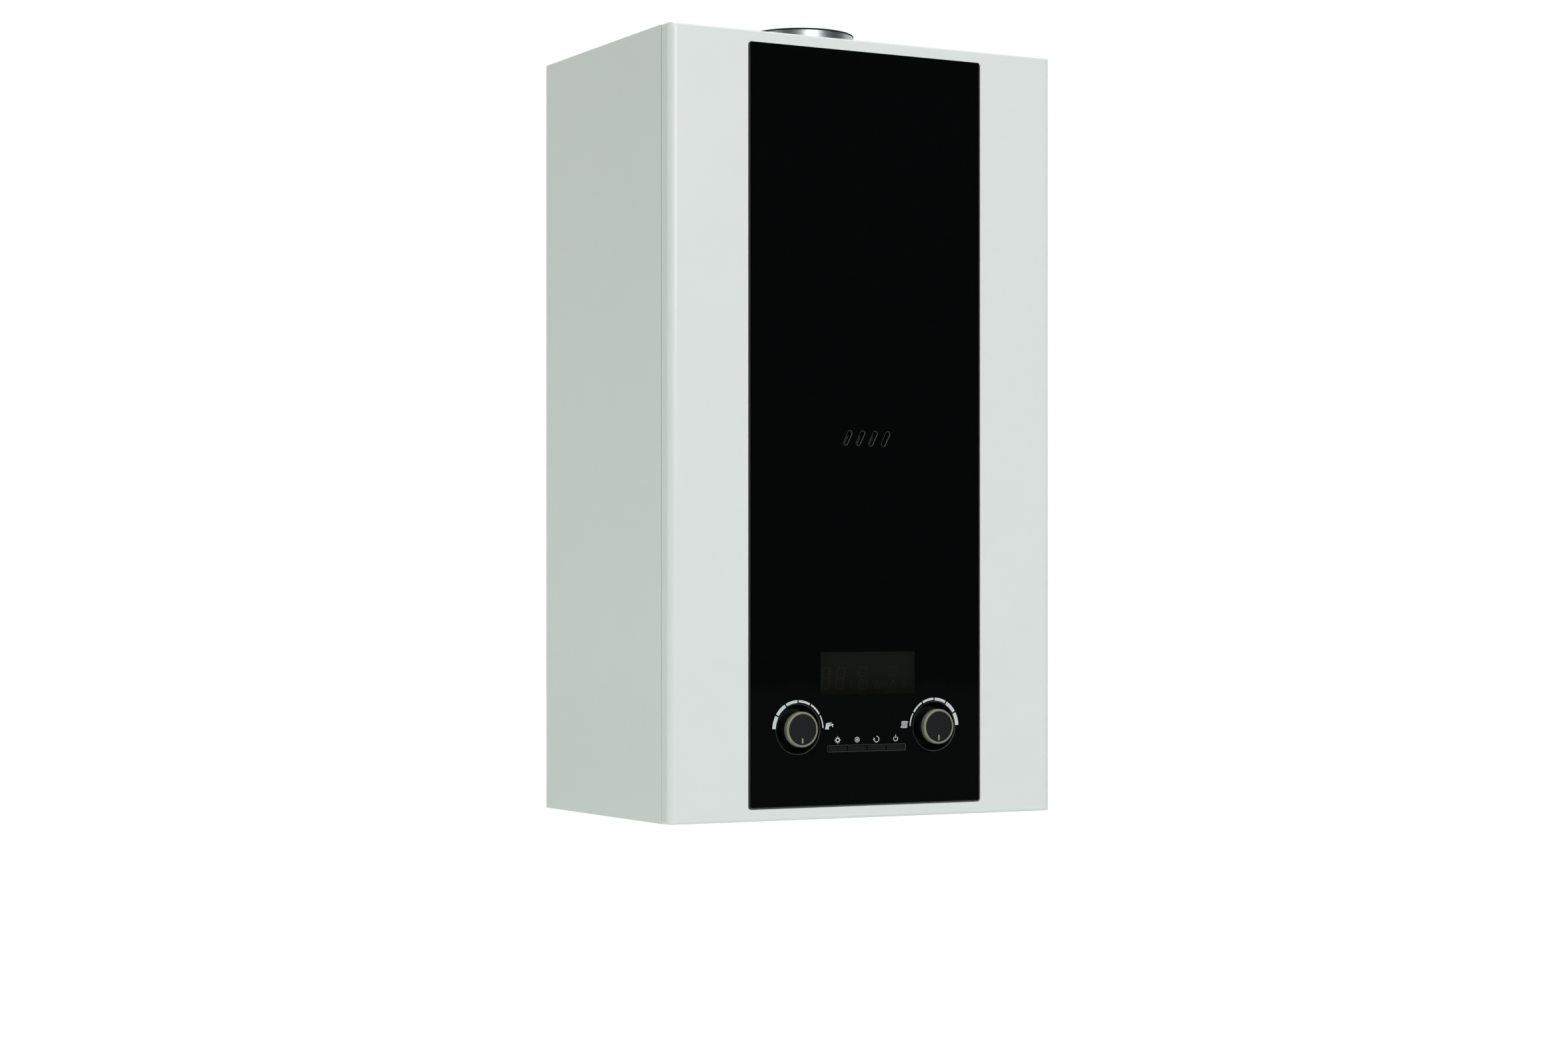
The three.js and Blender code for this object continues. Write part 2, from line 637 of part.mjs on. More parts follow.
const boxHalf = half(casing.width) - side.frontFlange - box.sideGap;
const boxLow = plateTop + fit;
const boxHeight = [boxLow, boxLow + box.height];
const boxDepth = from(fasciaBack + fit, box.depth);
const boardY = from(boxDepth[1] - box.wall - board.back - board.thickness, board.thickness);
const keyFlange = from(fasciaBack + fit, buttonKey.flangeThickness);
const stemEnd = boardY[0] - tact.height - buttonSlot.travelGap;

function controlBox() {
  const x = span(0, 2 * boxHalf);
  const shell = roundedBlock('y', x, boxHeight, boxDepth, box.radius);
  const hollow = roundedBlock(
    'y', grown(x, -box.wall), grown(boxHeight, -box.wall), [boxDepth[0] - overrun, boxDepth[1] - box.wall],
    box.radius - box.wall,
  );
  const reach = half(board.width) - box.postInset;
  const postY = [boardY[1] + fit, boxDepth[1] - half(box.wall)];
  const posts = [-reach, reach].flatMap((px) =>
    [board.low + box.postInset, board.high - box.postInset].map((pz) => rod(
      'y', [px, pz], box.postRadius, postY, 6,
    )));
  const cables = [-1, 1].map((s) => rod(
    'y', [s * half(cableHole.spread), cableHole.height], cableHole.radius,
    grown([boxDepth[1] - box.wall, boxDepth[1]], overrun),
  ));
  return less(joined(less(shell, hollow), posts), cables);
}

function controlFascia() {
  const plate = roundedBlock('y', span(0, 2 * boxHalf), boxHeight, [fasciaFront, fasciaBack], box.radius);
  const boss = roundedBlock(
    'y', grown(span(0, controlOpening.width), -fascia.bossMarginX),
    grown([controlOpening.low, controlOpening.high], -fascia.bossMarginZ),
    [bossFront, fasciaBack], fascia.bossRadius,
  );
  const mouth = dialHole.radius + well.mouthMargin;
  const floor = front + well.depth;
  const cups = dialX.map((x) => rod(
    'y', [x, dial.height], mouth + well.wall, [bossFront, floor + well.wall], 24,
    well.floorRadius + well.wall,
  ));
  const hollows = dialX.map((x) => turned('y', [x, dial.height], [
    [0, bossFront - overrun], [mouth, bossFront - overrun], [mouth, bossFront],
    [well.floorRadius, floor], [0, floor],
  ], 24));
  const bores = dialX.map((x) => rod(
    'y', [x, dial.height], shaft.radius + shaft.clearance, grown([floor, floor + well.wall], overrun),
  ));
  const window = block(
    grown(span(display.shift, display.width), fit), [bossFront - overrun, fasciaBack + overrun],
    grown(span(display.level, display.height), fit),
  );
  return less(
    joined(plate, boss, cups), hollows, bores, window,
    buttonOpening([bossFront - overrun, fasciaBack + overrun]),
  );
}

function displayModule() {
  const x = span(display.shift, display.width);
  const z = span(display.level, display.height);
  const face = block(x, [bossFront, bossFront + display.depth], z);
  const rim = roundedBlock(
    'y', grown(x, display.rim), grown(z, display.rim), from(fasciaBack + fit, display.rimThickness),
    display.rim,
  );
  return joined(face, rim);
}

function controlBoard() {
  const plate = block(span(0, board.width), boardY, [board.low, board.high]);
  const onFront = (depth) => [boardY[0] - depth, boardY[0] + half(board.thickness)];
  const bases = dialX.map((x) => less(
    block(span(x, dialBase.side), onFront(dialBase.depth), span(dial.height, dialBase.side)),
    rod('y', [x, dial.height], dialBase.bore, [boardY[0] - dialBase.depth - overrun, boardY[0]]),
  ));
  const switches = buttonX.flatMap((x) => [
    block(span(x, tact.side), onFront(tact.bodyHeight), span(button.level, tact.side)),
    rod('y', [x, button.level], tact.plungerRadius, onFront(tact.height), 6),
  ]);
  const supply = joined(
    block(
      span(transformer.centre, transformer.core), onFront(transformer.depth),
      span(transformer.level, transformer.height),
    ),
    block(
      span(transformer.centre, transformer.width), onFront(transformer.coreDepth),
      span(transformer.level, transformer.core),
    ),
  );
  const relays = row(relay.count, relay.pitch).map((x) => block(
    from(relay.first + x + half((relay.count - 1) * relay.pitch), relay.width),
    onFront(relay.depth), span(relay.level, relay.height),
  ));
  const strip = block(
    span(terminals.centre, terminals.width), onFront(terminals.depth),
    span(terminals.level, terminals.height),
  );
  const notches = row(Math.round(terminals.width / terminals.pitch), terminals.pitch).map((x) => block(
    span(terminals.centre + x, terminals.notch),
    [boardY[0] - terminals.depth - overrun, boardY[0] - half(terminals.depth)],
    grown(span(terminals.level, terminals.height), -terminals.lip),
  ));
  return joined(plate, bases, switches, supply, relays, less(strip, notches));
}

// A dial's pieces are drawn round their own axis, with the front of the glass at zero depth.

function knobBody() {
  const face = -(ring.top - knob.faceDrop);
  const neck = ring.bore - fit;
  const shoulder = -(ring.top - ring.height) + fit;
  const ceiling = face + knob.crown;
  const body = turned('y', [0, 0], [
    [0, face], [neck - knob.chamfer, face], [neck, face + knob.chamfer], [neck, shoulder],
    [knob.skirtRadius, shoulder],
    [knob.skirtRadius, knob.skirtFoot], [knob.skirtRadius - knob.wall, knob.skirtFoot],
    [knob.skirtRadius - knob.wall, shoulder + knob.wall], [neck - knob.wall, shoulder + knob.wall],
    [neck - knob.wall, ceiling], [knob.hubRadius, ceiling], [knob.hubRadius, knob.hubFoot],
    [shaft.radius + shaft.clearance, knob.hubFoot],
    [shaft.radius + shaft.clearance, -shaft.top - shaft.clearance],
    [0, -shaft.top - shaft.clearance],
  ], 18);
  const tip = -(neck - pointer.inset);
  const mark = block(
    span(0, pointer.width), [face - overrun, face + pointer.depth], [tip, tip + pointer.length],
  );
  return less(body, mark);
}

function knobRing() {
  const low = -(ring.top - ring.height);
  return turned('y', [0, 0], [
    [ring.bore, low], [ring.radius, low], [ring.radius, -ring.top + ring.bevelDepth],
    [ring.radius - ring.bevel, -ring.top], [ring.bore, -ring.top], [ring.bore, low],
  ], 24);
}

const selectorShaft = () => rod('y', [0, 0], shaft.radius, [-shaft.top, shaft.foot]);

// A button is drawn round its own centre, with the front of the glass at zero depth.
function buttonBody() {
  const flange = keyFlange.map((y) => y - front);
  const z = span(0, button.height);
  return joined(
    roundedBlock('y', span(0, button.width), z, [-button.proud, flange[1]], button.radius),
    block(span(0, button.width), flange, grown(z, buttonKey.flangeMargin)),
    block(span(0, buttonKey.stemWidth), [flange[0], stemEnd - front], span(0, buttonKey.stemHeight)),
  );
}

// Combustion

const exchangerLow = chamberZ[1] + fit;
const exchangerY = grown(chamberY, -exchanger.inset);
const tubeLevel = exchangerLow + half(exchanger.height);
const frontTubeY = middle(exchangerY) - half(exchanger.tubeCount - 1) * exchanger.tubePitch;
const hoodLow = exchangerLow + exchanger.height + fit;
const plenumFront = chamberY[1] - hood.plenumDepth;
const voluteDepth = [plenumFront - fit - volute.depth, plenumFront - fit];
const electrodeLevel = chamberZ[0] + electrode.rise;

function sightHole(y) {
  return roundedBlock('y', span(0, sight.width), span(viewLevel, sight.height), y, sight.radius);
}

function combustionChamber() {
  const x = span(0, chamber.width);
  const z = chamberZ;
  const through = grown(z, overrun);
  const walls = roundedBlock('z', x, chamberY, z, chamber.radius);
  const rims = [from(z[0], sheet), from(z[1] - sheet, sheet)].map((level) =>
    roundedBlock('z', grown(x, chamber.lip), grown(chamberY, chamber.lip), level, chamber.radius));
  const inside = roundedBlock(
    'z', grown(x, -sheet), grown(chamberY, -sheet), through, chamber.radius - sheet,
  );
  const frontWall = grown([chamberY[0], chamberY[0] + sheet], overrun);
  const lead = rod('y', [electrode.spread, electrodeLevel], electrode.radius + electrode.gap, frontWall);
  return less(joined(walls, rims), inside, sightHole(frontWall), lead);
}

function chamberInsulation() {
  const x = grown(span(0, chamber.width), -sheet - fit);
  const y = grown(chamberY, -sheet - fit);
  const z = chamberZ;
  const frontWall = grown([y[0], y[0] + insulation.thickness], overrun);
  return less(
    roundedBlock('z', x, y, z, chamber.radius),
    block(grown(x, -insulation.thickness), grown(y, -insulation.thickness), grown(z, overrun)),
    sightHole(frontWall),
    rod('y', [electrode.spread, electrodeLevel], electrode.radius + electrode.gap, frontWall),
  );
}

function chamberBracketOn(s) {
  const wall = s * (half(chamber.width) + fit);
  const foot = backFront - fit;
  const line = [[wall + s * chamberBracket.width, foot], [wall, foot], [wall, -chamberBracket.reach]];
  const section = bentSheet(s < 0 ? line.reverse() : line, chamberBracket.sheet, back.bend);
  return pushed(section, 'z', from(chamberZ[1] - chamberBracket.drop, chamberBracket.height));
}

// Copper fins in a copper jacket, with the water tubes running through them from side to side.
function heatExchanger() {
  const x = span(0, exchanger.width);
  const z = from(exchangerLow, exchanger.height);
  const jacket = less(
    block(x, exchangerY, z),
    block(grown(x, -exchanger.sheet), grown(exchangerY, -exchanger.sheet), grown(z, overrun)),
  );
  const finZ = grown(z, -exchanger.finMargin);
  const fins = row(exchanger.finCount, exchanger.finPitch).map((fx) => block(
    span(fx, exchanger.fin), exchangerY, finZ,
  ));
  const tubes = row(exchanger.tubeCount, exchanger.tubePitch).map((ty) =>
    rod('x', [middle(exchangerY) + ty, tubeLevel], exchanger.tubeRadius, grown(x, exchanger.stub), 6));
  return joined(jacket, fins, tubes);
}

function flueHood() {
  const form = (margin) => {
    const base = hoodLow - (margin ? overrun : 0);
    const low = hoodLow + hood.skirt;
    const [y0, y1] = grown(chamberY, -margin);
    const plenum = plenumFront + margin;
    const top = belowTop(hood.drop) - margin;
    const shoulder = belowTop(hood.plenumDrop) - margin;
    const fromSide = polygon([
      [y1, base], [y1, top], [plenum, top],
      [plenum, low + hood.shoulder - margin], [y0, low - margin], [y0, base],
    ]);
    const [x0, x1] = grown(span(0, chamber.width), -margin);
    const [left, right] = [-hood.plenumLeft + margin, hood.plenumRight - margin];
    const fromFront = polygon([
      [x1, base], [x1, low - margin], [right, shoulder], [right, top], [left, top],
      [left, shoulder], [x0, low - margin], [x0, base],
    ]);
    return common(
      pushed(fromSide, 'x', grown(span(0, chamber.width), overrun)),
      pushed(fromFront, 'y', grown(chamberY, overrun)),
    );
  };
  const eyeDepth = grown([plenumFront, plenumFront + hood.wall], overrun);
  const eye = rod('y', fanAt, volute.intake, eyeDepth, 20);
  return less(form(0), form(hood.wall), eye);
}

// The spiral runs clockwise from the outlet's outer wall, under the wheel and up to the tongue.
function voluteOutline(margin, top) {
  const points = [[volute.outletHalf - margin, top]];
  for (let i = 0; i <= volute.steps; i += 1) {
    const share = i / volute.steps;
    const angle = -1.5 * Math.PI * share;
    const radius = THREE.MathUtils.lerp(volute.outletHalf - volute.axisX, volute.startRadius, share) - margin;
    points.push([volute.axisX + radius * Math.cos(angle), fanLevel + radius * Math.sin(angle)]);
  }
  const tongueTop = fanLevel + volute.startRadius - margin;
  points.push([-volute.outletHalf + margin, tongueTop], [-volute.outletHalf + margin, top]);
  return polygon(points.reverse());
}

function fanVolute() {
  const [y0, y1] = voluteDepth;
  const shell = pushed(voluteOutline(0, voluteTop), 'y', voluteDepth);
  const within = grown(voluteDepth, -volute.wall);
  const inside = pushed(voluteOutline(volute.wall, voluteTop + overrun), 'y', within);
  return less(
    shell, inside,
    rod('y', fanAt, volute.intake, grown([y1 - volute.wall, y1], overrun), 20),
    rod('y', fanAt, volute.shaftHole, grown([y0, y0 + volute.wall], overrun)),
  );
}

// A wheel of forward-curved blades between a back plate and a shroud ring, with its shaft.
function fanImpeller() {
  const at = fanAt;
  const mid = middle(voluteDepth);
  const [y0, y1] = span(mid, impeller.depth);
  const plate = rod('y', at, impeller.radius, from(y0, impeller.plate), 16);
  const shroud = turned('y', at, [
    [impeller.bladeInner, y1 - impeller.shroud], [impeller.radius, y1 - impeller.shroud],
    [impeller.radius, y1],
    [impeller.bladeInner, y1], [impeller.bladeInner, y1 - impeller.shroud],
  ], 16);
  const sweep = THREE.MathUtils.degToRad(impeller.sweepAngle);
  const blades = around(impeller.bladeCount).map((angle) => {
    const inner = impeller.bladeInner + half(impeller.shroud);
    const outer = impeller.radius - half(impeller.shroud);
    const point = (radius, turn, shift) => [
      at[0] + radius * Math.cos(angle + turn) - shift * Math.sin(angle + turn),
      at[1] + radius * Math.sin(angle + turn) + shift * Math.cos(angle + turn),
    ];
    const line = [0, 1 / 2, 1].map((share) => [
      THREE.MathUtils.lerp(inner, outer, share), sweep * share * share,
    ]);
    const rear = line.map(([radius, turn]) => point(radius, turn, -half(impeller.blade)));
    const face = line.map(([radius, turn]) => point(radius, turn, half(impeller.blade)));
    return pushed(
      polygon([...rear, ...face.reverse()]), 'y', [y0 + half(impeller.plate), y1 - half(impeller.shroud)],
    );
  });
  const hub = rod(
    'y', at, impeller.hubRadius, from(y0 + half(impeller.plate), impeller.hubDepth), 12,
    half(impeller.hubRadius),
  );
  const axle = rod('y', at, impeller.shaftRadius, [voluteDepth[0] - impeller.shaftLength, mid]);
  return joined(plate, shroud, blades, hub, axle);
}

function fanMotor() {
  const at = fanAt;
  const rear = voluteDepth[0] - fit;
  const can = turned('y', at, [
    [0, rear - motor.depth - motor.capDepth], [half(motor.capRadius), rear - motor.depth - motor.capDepth],
    [motor.capRadius, rear - motor.depth], [motor.radius, rear - motor.depth],
    [motor.radius, rear - motor.bossDepth], [motor.boss, rear - motor.bossDepth],
    [motor.boss, rear], [0, rear],
  ]);
  const feet = around(3).map((angle) => rod(
    'y', [
      at[0] + (motor.radius - motor.bossDepth) * Math.sin(angle),
      at[1] + (motor.radius - motor.bossDepth) * Math.cos(angle),
    ],
    motor.bossDepth, [rear - motor.depth, rear], 8,
  ));
  const bore = rod(
    'y', at, impeller.shaftRadius + impeller.shaftGap,
    [voluteDepth[0] - impeller.shaftLength - impeller.shaftGap, rear + overrun],
  );
  return less(joined(can, feet), bore);
}

// A row of upright blades, each a gas tube with a mouth at the front and a slotted head on top.
function burnerAssembly() {
  const [y0, y1] = burnerY;
  const top = burnerTop;
  const neckTop = burner.low + blade.neck + half(blade.mouth - blade.neck);
  const neckLow = burner.low + half(blade.mouth - blade.neck);
  const profile = polygon([
    [y0, burner.low], [y0 + blade.throat, neckLow], [y1 - blade.rearRun, neckLow],
    [y1, burner.low + blade.rearRise],
    [y1, top], [y0, top], [y0, burner.low + blade.headLow],
    [y0 + blade.throat, burner.low + blade.headLow - blade.lip],
    [y0 + blade.throat, neckTop], [y0, burner.low + blade.mouth],
  ].reverse());
  const slotRow = row(blade.slots, extent(burnerY) / blade.slots);
  const blades = row(blade.count, blade.pitch).map((x) => less(
    pushed(profile, 'x', span(x, blade.thickness)),
    slotRow.map((y) => block(
      grown(span(x, blade.thickness), -burner.sheet), span((y0 + y1) / 2 + y, blade.slotWidth),
      [top - blade.slotDepth, top + overrun],
    )),
  ));
  const strip = [burner.low + burner.stripLow, burner.low + burner.stripHigh];
  const across = span(0, burner.width);
  const strips = [from(y0, burner.sheet), from(y1 - burner.sheet, burner.sheet)].map(
    (y) => block(across, y, strip),
  );
  const ends = [-1, 1].map((s) => block(
    s < 0 ? from(across[0], burner.sheet) : from(across[1] - burner.sheet, burner.sheet),
    [y0, y1], [burner.low, top],
  ));
  return joined(blades, strips, ends);
}

function gasManifold() {
  const barBack = burnerY[0] - fit - manifold.nozzleLength;
  const y = [barBack - manifold.size, barBack];
  const z = span(manifold.height, manifold.size);
  const x = grown(span(0, burner.width), manifold.overhang);
  const bar = roundedBlock('x', y, z, x, manifold.radius);
  const nozzles = row(blade.count, blade.pitch).map((nx) =>
    rod(
      'y', [nx, manifold.height], manifold.nozzleRadius,
      [barBack - half(manifold.nozzleLength), barBack + manifold.nozzleLength], 6, manifold.nozzleTip,
    ));
  const ears = [-1, 1].map((s) => {
    const inner = s * (half(burner.width) - manifold.ear);
    const outer = s * half(burner.width);
    return block([inner, outer].sort((a, b) => a - b), [middle(y), burnerY[0] - fit], z);
  });
  return joined(bar, nozzles, ears);
}

function ignitionElectrode() {
  const [face] = chamberY;
  return turned('y', [electrode.spread, electrodeLevel], [
    [0, face - electrode.tail], [half(electrode.radius), face - electrode.tail],
    [electrode.radius, face - half(electrode.tail)],
    [electrode.radius, face - fit - electrode.flangeDepth],
    [electrode.flange, face - fit - electrode.flangeDepth],
    [electrode.flange, face - fit], [electrode.radius, face - fit],
    [electrode.radius, face + electrode.reach],
    [electrode.wire, face + electrode.reach],
    [electrode.wire, face + electrode.reach + electrode.wireLength],
    [0, face + electrode.reach + electrode.wireLength],
  ], 8);
}

// The switch hangs in the strip between the vessel and the side panel.
const switchX = middle([-innerHalf, -half(vessel.width)]);

function airPressureSwitch() {
  const rear = backFront - fit;
  const face = rear - pressureSwitch.depth;
  const at = [switchX, fanLevel];
  const can = turned('y', at, [
    [0, face], [pressureSwitch.radius - pressureSwitch.rim - pressureSwitch.rim, face],
    [pressureSwitch.radius - pressureSwitch.rim, face + pressureSwitch.rim],
    [pressureSwitch.radius - pressureSwitch.rim, middle([face, rear]) - half(pressureSwitch.rimDepth)],
    [pressureSwitch.radius, middle([face, rear]) - half(pressureSwitch.rimDepth)],
    [pressureSwitch.radius, middle([face, rear]) + half(pressureSwitch.rimDepth)],
    [pressureSwitch.radius - pressureSwitch.rim, middle([face, rear]) + half(pressureSwitch.rimDepth)],
    [pressureSwitch.radius - pressureSwitch.rim, rear], [0, rear],
  ]);
  return joined(
    can,
    rod('y', at, pressureSwitch.nipple, [face - pressureSwitch.nippleLength, face + pressureSwitch.rim], 8),
  );
}

function pressureTubeRun() {
  const start = backFront - fit - pressureSwitch.depth - pressureSwitch.nippleLength - fit;
  const depth = middle(voluteDepth);
  const end = voluteLeft() - fit;
  return pipe([
    [switchX, start, fanLevel], [switchX, depth, fanLevel], [end, depth, fanLevel],
  ], pressureTube.radius, pressureTube.bend, 6);
}

// The spiral's leftmost reach at the height of the pressure tube.
function voluteLeft() {
  const reach = volute.outletHalf - volute.axisX;
  return volute.axisX - THREE.MathUtils.lerp(reach, volute.startRadius, volute.leftShare);
}

// Water and gas

const unionRadius = (i) => (i % 2 === 0 ? union.bigRadius : union.smallRadius);
const unionBore = (i) => (i % 2 === 0 ? union.bigBore : union.smallBore);
const groupLow = union.high + fit;
const groupHeight = [groupLow, groupLow + group.height];
const groupY = span(-union.setback, group.depth);

function pipeUnion(i) {
  const radius = unionRadius(i);
  const bore = unionBore(i);
  const seat = plateTop + fit;
  const nutTop = bottom.level - fit;
  const body = turned('z', [0, 0], [
    [bore, union.low], [radius, union.low], [radius, seat],
    [radius + union.flange, seat], [radius + union.flange, seat + union.flangeHeight],
    [radius, seat + union.flangeHeight],
    [radius, union.high], [bore, union.high], [bore, union.low],
  ], 10);
  const nut = less(
    rod('z', [0, 0], radius + union.nut, [nutTop - union.nutHeight, nutTop], 6),
    rod('z', [0, 0], middle([bore, radius]), grown([nutTop - union.nutHeight, nutTop], overrun)),
  );
  return joined(body, nut);
}

function waterGroup(s) {
  const inner = s * (unionX[3] - group.reach);
  const outer = s * (unionX[4] + group.reach);
  const bar = roundedBlock(
    'z', [inner, outer].sort((a, b) => a - b), groupY, groupHeight, half(group.depth) - sheet,
  );
  const ports = [port.near, port.far].map((x) => rod(
    'y', [s * x, port.level], port.radius, [-union.setback, -platesFront() - fit],
  ));
  return joined(bar, ports);
}

function platesFront() {
  return union.setback - half(group.depth) - plates.gap;
}

function diverterValve() {
  const at = [diverter.x, -union.setback];
  return joined(
    waterGroup(-1),
    rod('z', at, diverter.radius, [middle(groupHeight), diverter.high]),
    rod(
      'y', [diverter.x, diverter.portLevel], diverter.portRadius,
      [-union.setback - diverter.portReach, -union.setback],
    ),
  );
}

function diverterActuator() {
  const low = diverter.high + fit;
  const high = low + actuator.height;
  const at = [diverter.x, -union.setback];
  return joined(
    roundedBlock(
      'z', span(at[0], actuator.width), span(at[1], actuator.depth), [low, high], actuator.radius,
    ),
    rod('z', at, actuator.cap, [high - half(actuator.capHeight), high + half(actuator.capHeight)]),
  );
}

function pumpBody() {
  const ventX = innerHalf - airVent.wallGap;
  const voluteRange = from(-pump.front, pump.depth);
  const safetyRear = -union.setback;
  return joined(
    waterGroup(1),
    rod('y', [pump.x, pump.height], pump.radius, voluteRange, 16),
    rod('z', [pump.outletX, -union.setback], pump.outletRadius, [pump.height, pump.outletHigh]),
    turned('z', [ventX, -union.setback], [
      [0, airVent.low], [airVent.radius, airVent.low], [airVent.radius, airVent.high - airVent.capHeight],
      [airVent.cap, airVent.high], [0, airVent.high],
    ], 12),
    block([pump.x, ventX], span(-union.setback, airVent.bridge), span(pump.height, airVent.bridge)),
    rod('y', [safety.x, safety.level], safety.radius, [-safety.front, safetyRear]),
    rod('z', [filling.x, -union.setback], filling.radius, [filling.low, middle(groupHeight)]),
    rod('z', [filling.x, -union.setback], filling.spindle, [filling.spindleLow, filling.low + overrun], 8),
  );
}

function pumpMotorBody() {
  const rear = -pump.front - fit;
  const nose = rear - pumpMotor.depth;
  const can = turned('y', [pump.x, pump.height], [
    [0, nose - pumpMotor.noseDepth], [pumpMotor.nose, nose - pumpMotor.noseDepth], [pumpMotor.nose, nose],
    [pumpMotor.radius - pumpMotor.noseDepth, nose], [pumpMotor.radius, nose + pumpMotor.noseDepth],
    [pumpMotor.radius, rear - pumpMotor.step], [pumpMotor.stepRadius, rear - pumpMotor.step],
    [pumpMotor.stepRadius, rear], [0, rear],
  ]);
  const boxZ = from(pump.height + pumpMotor.radius - half(pumpMotor.boxHeight), pumpMotor.boxHeight);
  const terminalBox = block(
    span(pump.x, pumpMotor.boxWidth),
    [nose + pumpMotor.noseDepth, nose + pumpMotor.noseDepth + pumpMotor.boxDepth], boxZ,
  );
  return joined(can, terminalBox);
}

// A cap or hand knob with grooves round its rim, standing round its own axis from zero upwards.
function flutedKnob(axis, radius, depth, flutes, flute, boreRadius, boreDepth) {
  const body = turned(
    axis, [0, 0], [[0, 0], [radius, 0], [radius, depth - flute], [radius - flute, depth], [0, depth]],
  );
  const grooves = around(flutes).map((angle) => rod(
    axis, [radius * Math.cos(angle), radius * Math.sin(angle)], flute, grown([0, depth], overrun), 6,
  ));
  const bore = rod(axis, [0, 0], boreRadius, boreDepth);
  return less(body, grooves, bore);
}

function safetyCap() {
  return flutedKnob(
    'y', safety.capRadius, safety.capDepth, safety.flutes, safety.flute, half(safety.radius),
    [safety.capDepth - safety.recess, safety.capDepth + overrun],
  );
}

function fillingKnob() {
  const depth = filling.low - fit - filling.knobLow;
  const boreFloor = filling.spindleLow - filling.knobLow - filling.gap;
  return flutedKnob(
    'z', filling.knobRadius, depth, filling.flutes, filling.flute, filling.spindle + filling.gap,
    [boreFloor, depth + overrun],
  );
}

// Brazed plates whose pressed edges stand out in turn.
function plateHeatExchanger() {
  const x = span(0, plates.width);
  const z = from(plates.low, plates.height);
  const rear = -platesFront() + (plates.count - 1) * plates.pitch + plates.plate;
  const core = roundedBlock(
    'y', grown(x, -plates.inset), grown(z, -plates.inset), [-platesFront(), rear],
    plates.radius - plates.inset,
  );
  const leaves = Array.from({ length: plates.count }, (_, i) =>
    roundedBlock('y', x, z, from(-platesFront() + i * plates.pitch, plates.plate), plates.radius));
  return joined(core, leaves);
}

function gasValveBody() {
  const y = [-gasValve.front, -gasValve.rear];
  const coilLow = gasValve.high - sheet;
  return joined(
    roundedBlock('z', span(0, gasValve.width), y, [groupLow, gasValve.high], gasValve.radius),
    [-1, 1].map((s) => rod(
      'z', [s * half(gasValve.coilSpread), -gasValve.coilSetback], gasValve.coilRadius,
      [coilLow, gasValve.high + gasValve.coilHeight],
    )),
    rod(
      'y', [0, gasValve.governorLevel], gasValve.governorRadius,
      [-gasValve.front - gasValve.governorDepth, middle(y)], 12,
    ),
    rod(
      'z', [0, -gasValve.outletSetback], gasValve.outletRadius,
      [coilLow, gasValve.high + gasValve.outletRise],
    ),
  );
}

function flowPipe() {
  const start = half(exchanger.width) + exchanger.stub + fit;
  return pipe([
    [-start, frontTubeY, tubeLevel], [diverter.x, frontTubeY, tubeLevel],
    [diverter.x, frontTubeY, diverter.portLevel],
    [diverter.x, -union.setback - diverter.portReach - fit, diverter.portLevel],
  ], copper.radius, copper.bend);
}

function returnPipe() {
  const start = half(exchanger.width) + exchanger.stub + fit;
  return pipe([
    [start, frontTubeY, tubeLevel], [pump.outletX, frontTubeY, tubeLevel],
    [pump.outletX, frontTubeY, copper.bendHigh],
    [pump.outletX, -union.setback, copper.bendHigh], [pump.outletX, -union.setback, pump.outletHigh + fit],
  ], copper.radius, copper.bend);
}

function gasPipeRun() {
  const barMiddle = burnerY[0] - fit - manifold.nozzleLength - half(manifold.size);
  return pipe([
    [0, -gasValve.outletSetback, gasValve.high + gasValve.outletRise + fit],
    [0, -gasValve.outletSetback, gasPipe.bendHigh],
    [0, barMiddle, gasPipe.bendHigh], [0, barMiddle, manifold.height - half(manifold.size) - fit],
  ], gasPipe.radius, gasPipe.bend);
}

// Two pressed shells with a seam between them, and the pipe down to the return group.
function expansionVessel() {
  const x = span(0, vessel.width);
  const z = [vessel.low, belowTop(vessel.drop)];
  const shape = roundedOutline(
    grown(x, -vessel.bevel), grown(z, -vessel.bevel), vessel.corner - vessel.bevel,
  );
  const options = {
    depth: vessel.depth - 2 * vessel.bevel,
    bevelThickness: vessel.bevel,
    bevelSize: vessel.bevel,
    bevelSegments: 3,
    curveSegments: 1,
  };
  const geometry = new THREE.ExtrudeGeometry(shape, options);
  geometry.translate(0, 0, -half(options.depth)).rotateX(Math.PI / 2).translate(0, vesselMiddle, 0);
  const seam = roundedBlock(
    'y', grown(x, vessel.seam), grown(z, vessel.seam), span(vesselMiddle, vessel.seamDepth),
    vessel.corner + vessel.seam,
  );
  const stub = pipe([
    [vessel.stubX, vesselMiddle, vessel.low + vessel.bevel], [vessel.stubX, vesselMiddle, vessel.stubLevel],
    [vessel.stubX, -pump.front + pump.depth + fit, vessel.stubLevel],
  ], vessel.stubRadius, vessel.stubBend);
  return joined(solidOf(geometry), seam, stub);
}

function cableGland() {
  const low = bottom.level - gland.tail;
  const high = plateTop + gland.dome;
  const seat = plateTop + fit;
  const body = turned('z', [0, 0], [
    [gland.bore, low], [gland.radius, low], [gland.radius, seat], [gland.radius + gland.nut, seat],
    [gland.radius + gland.nut, seat + gland.nutHeight], [gland.radius, high],
    [gland.bore, high], [gland.bore, low],
  ], 10);
  return body;
}

// Finishes

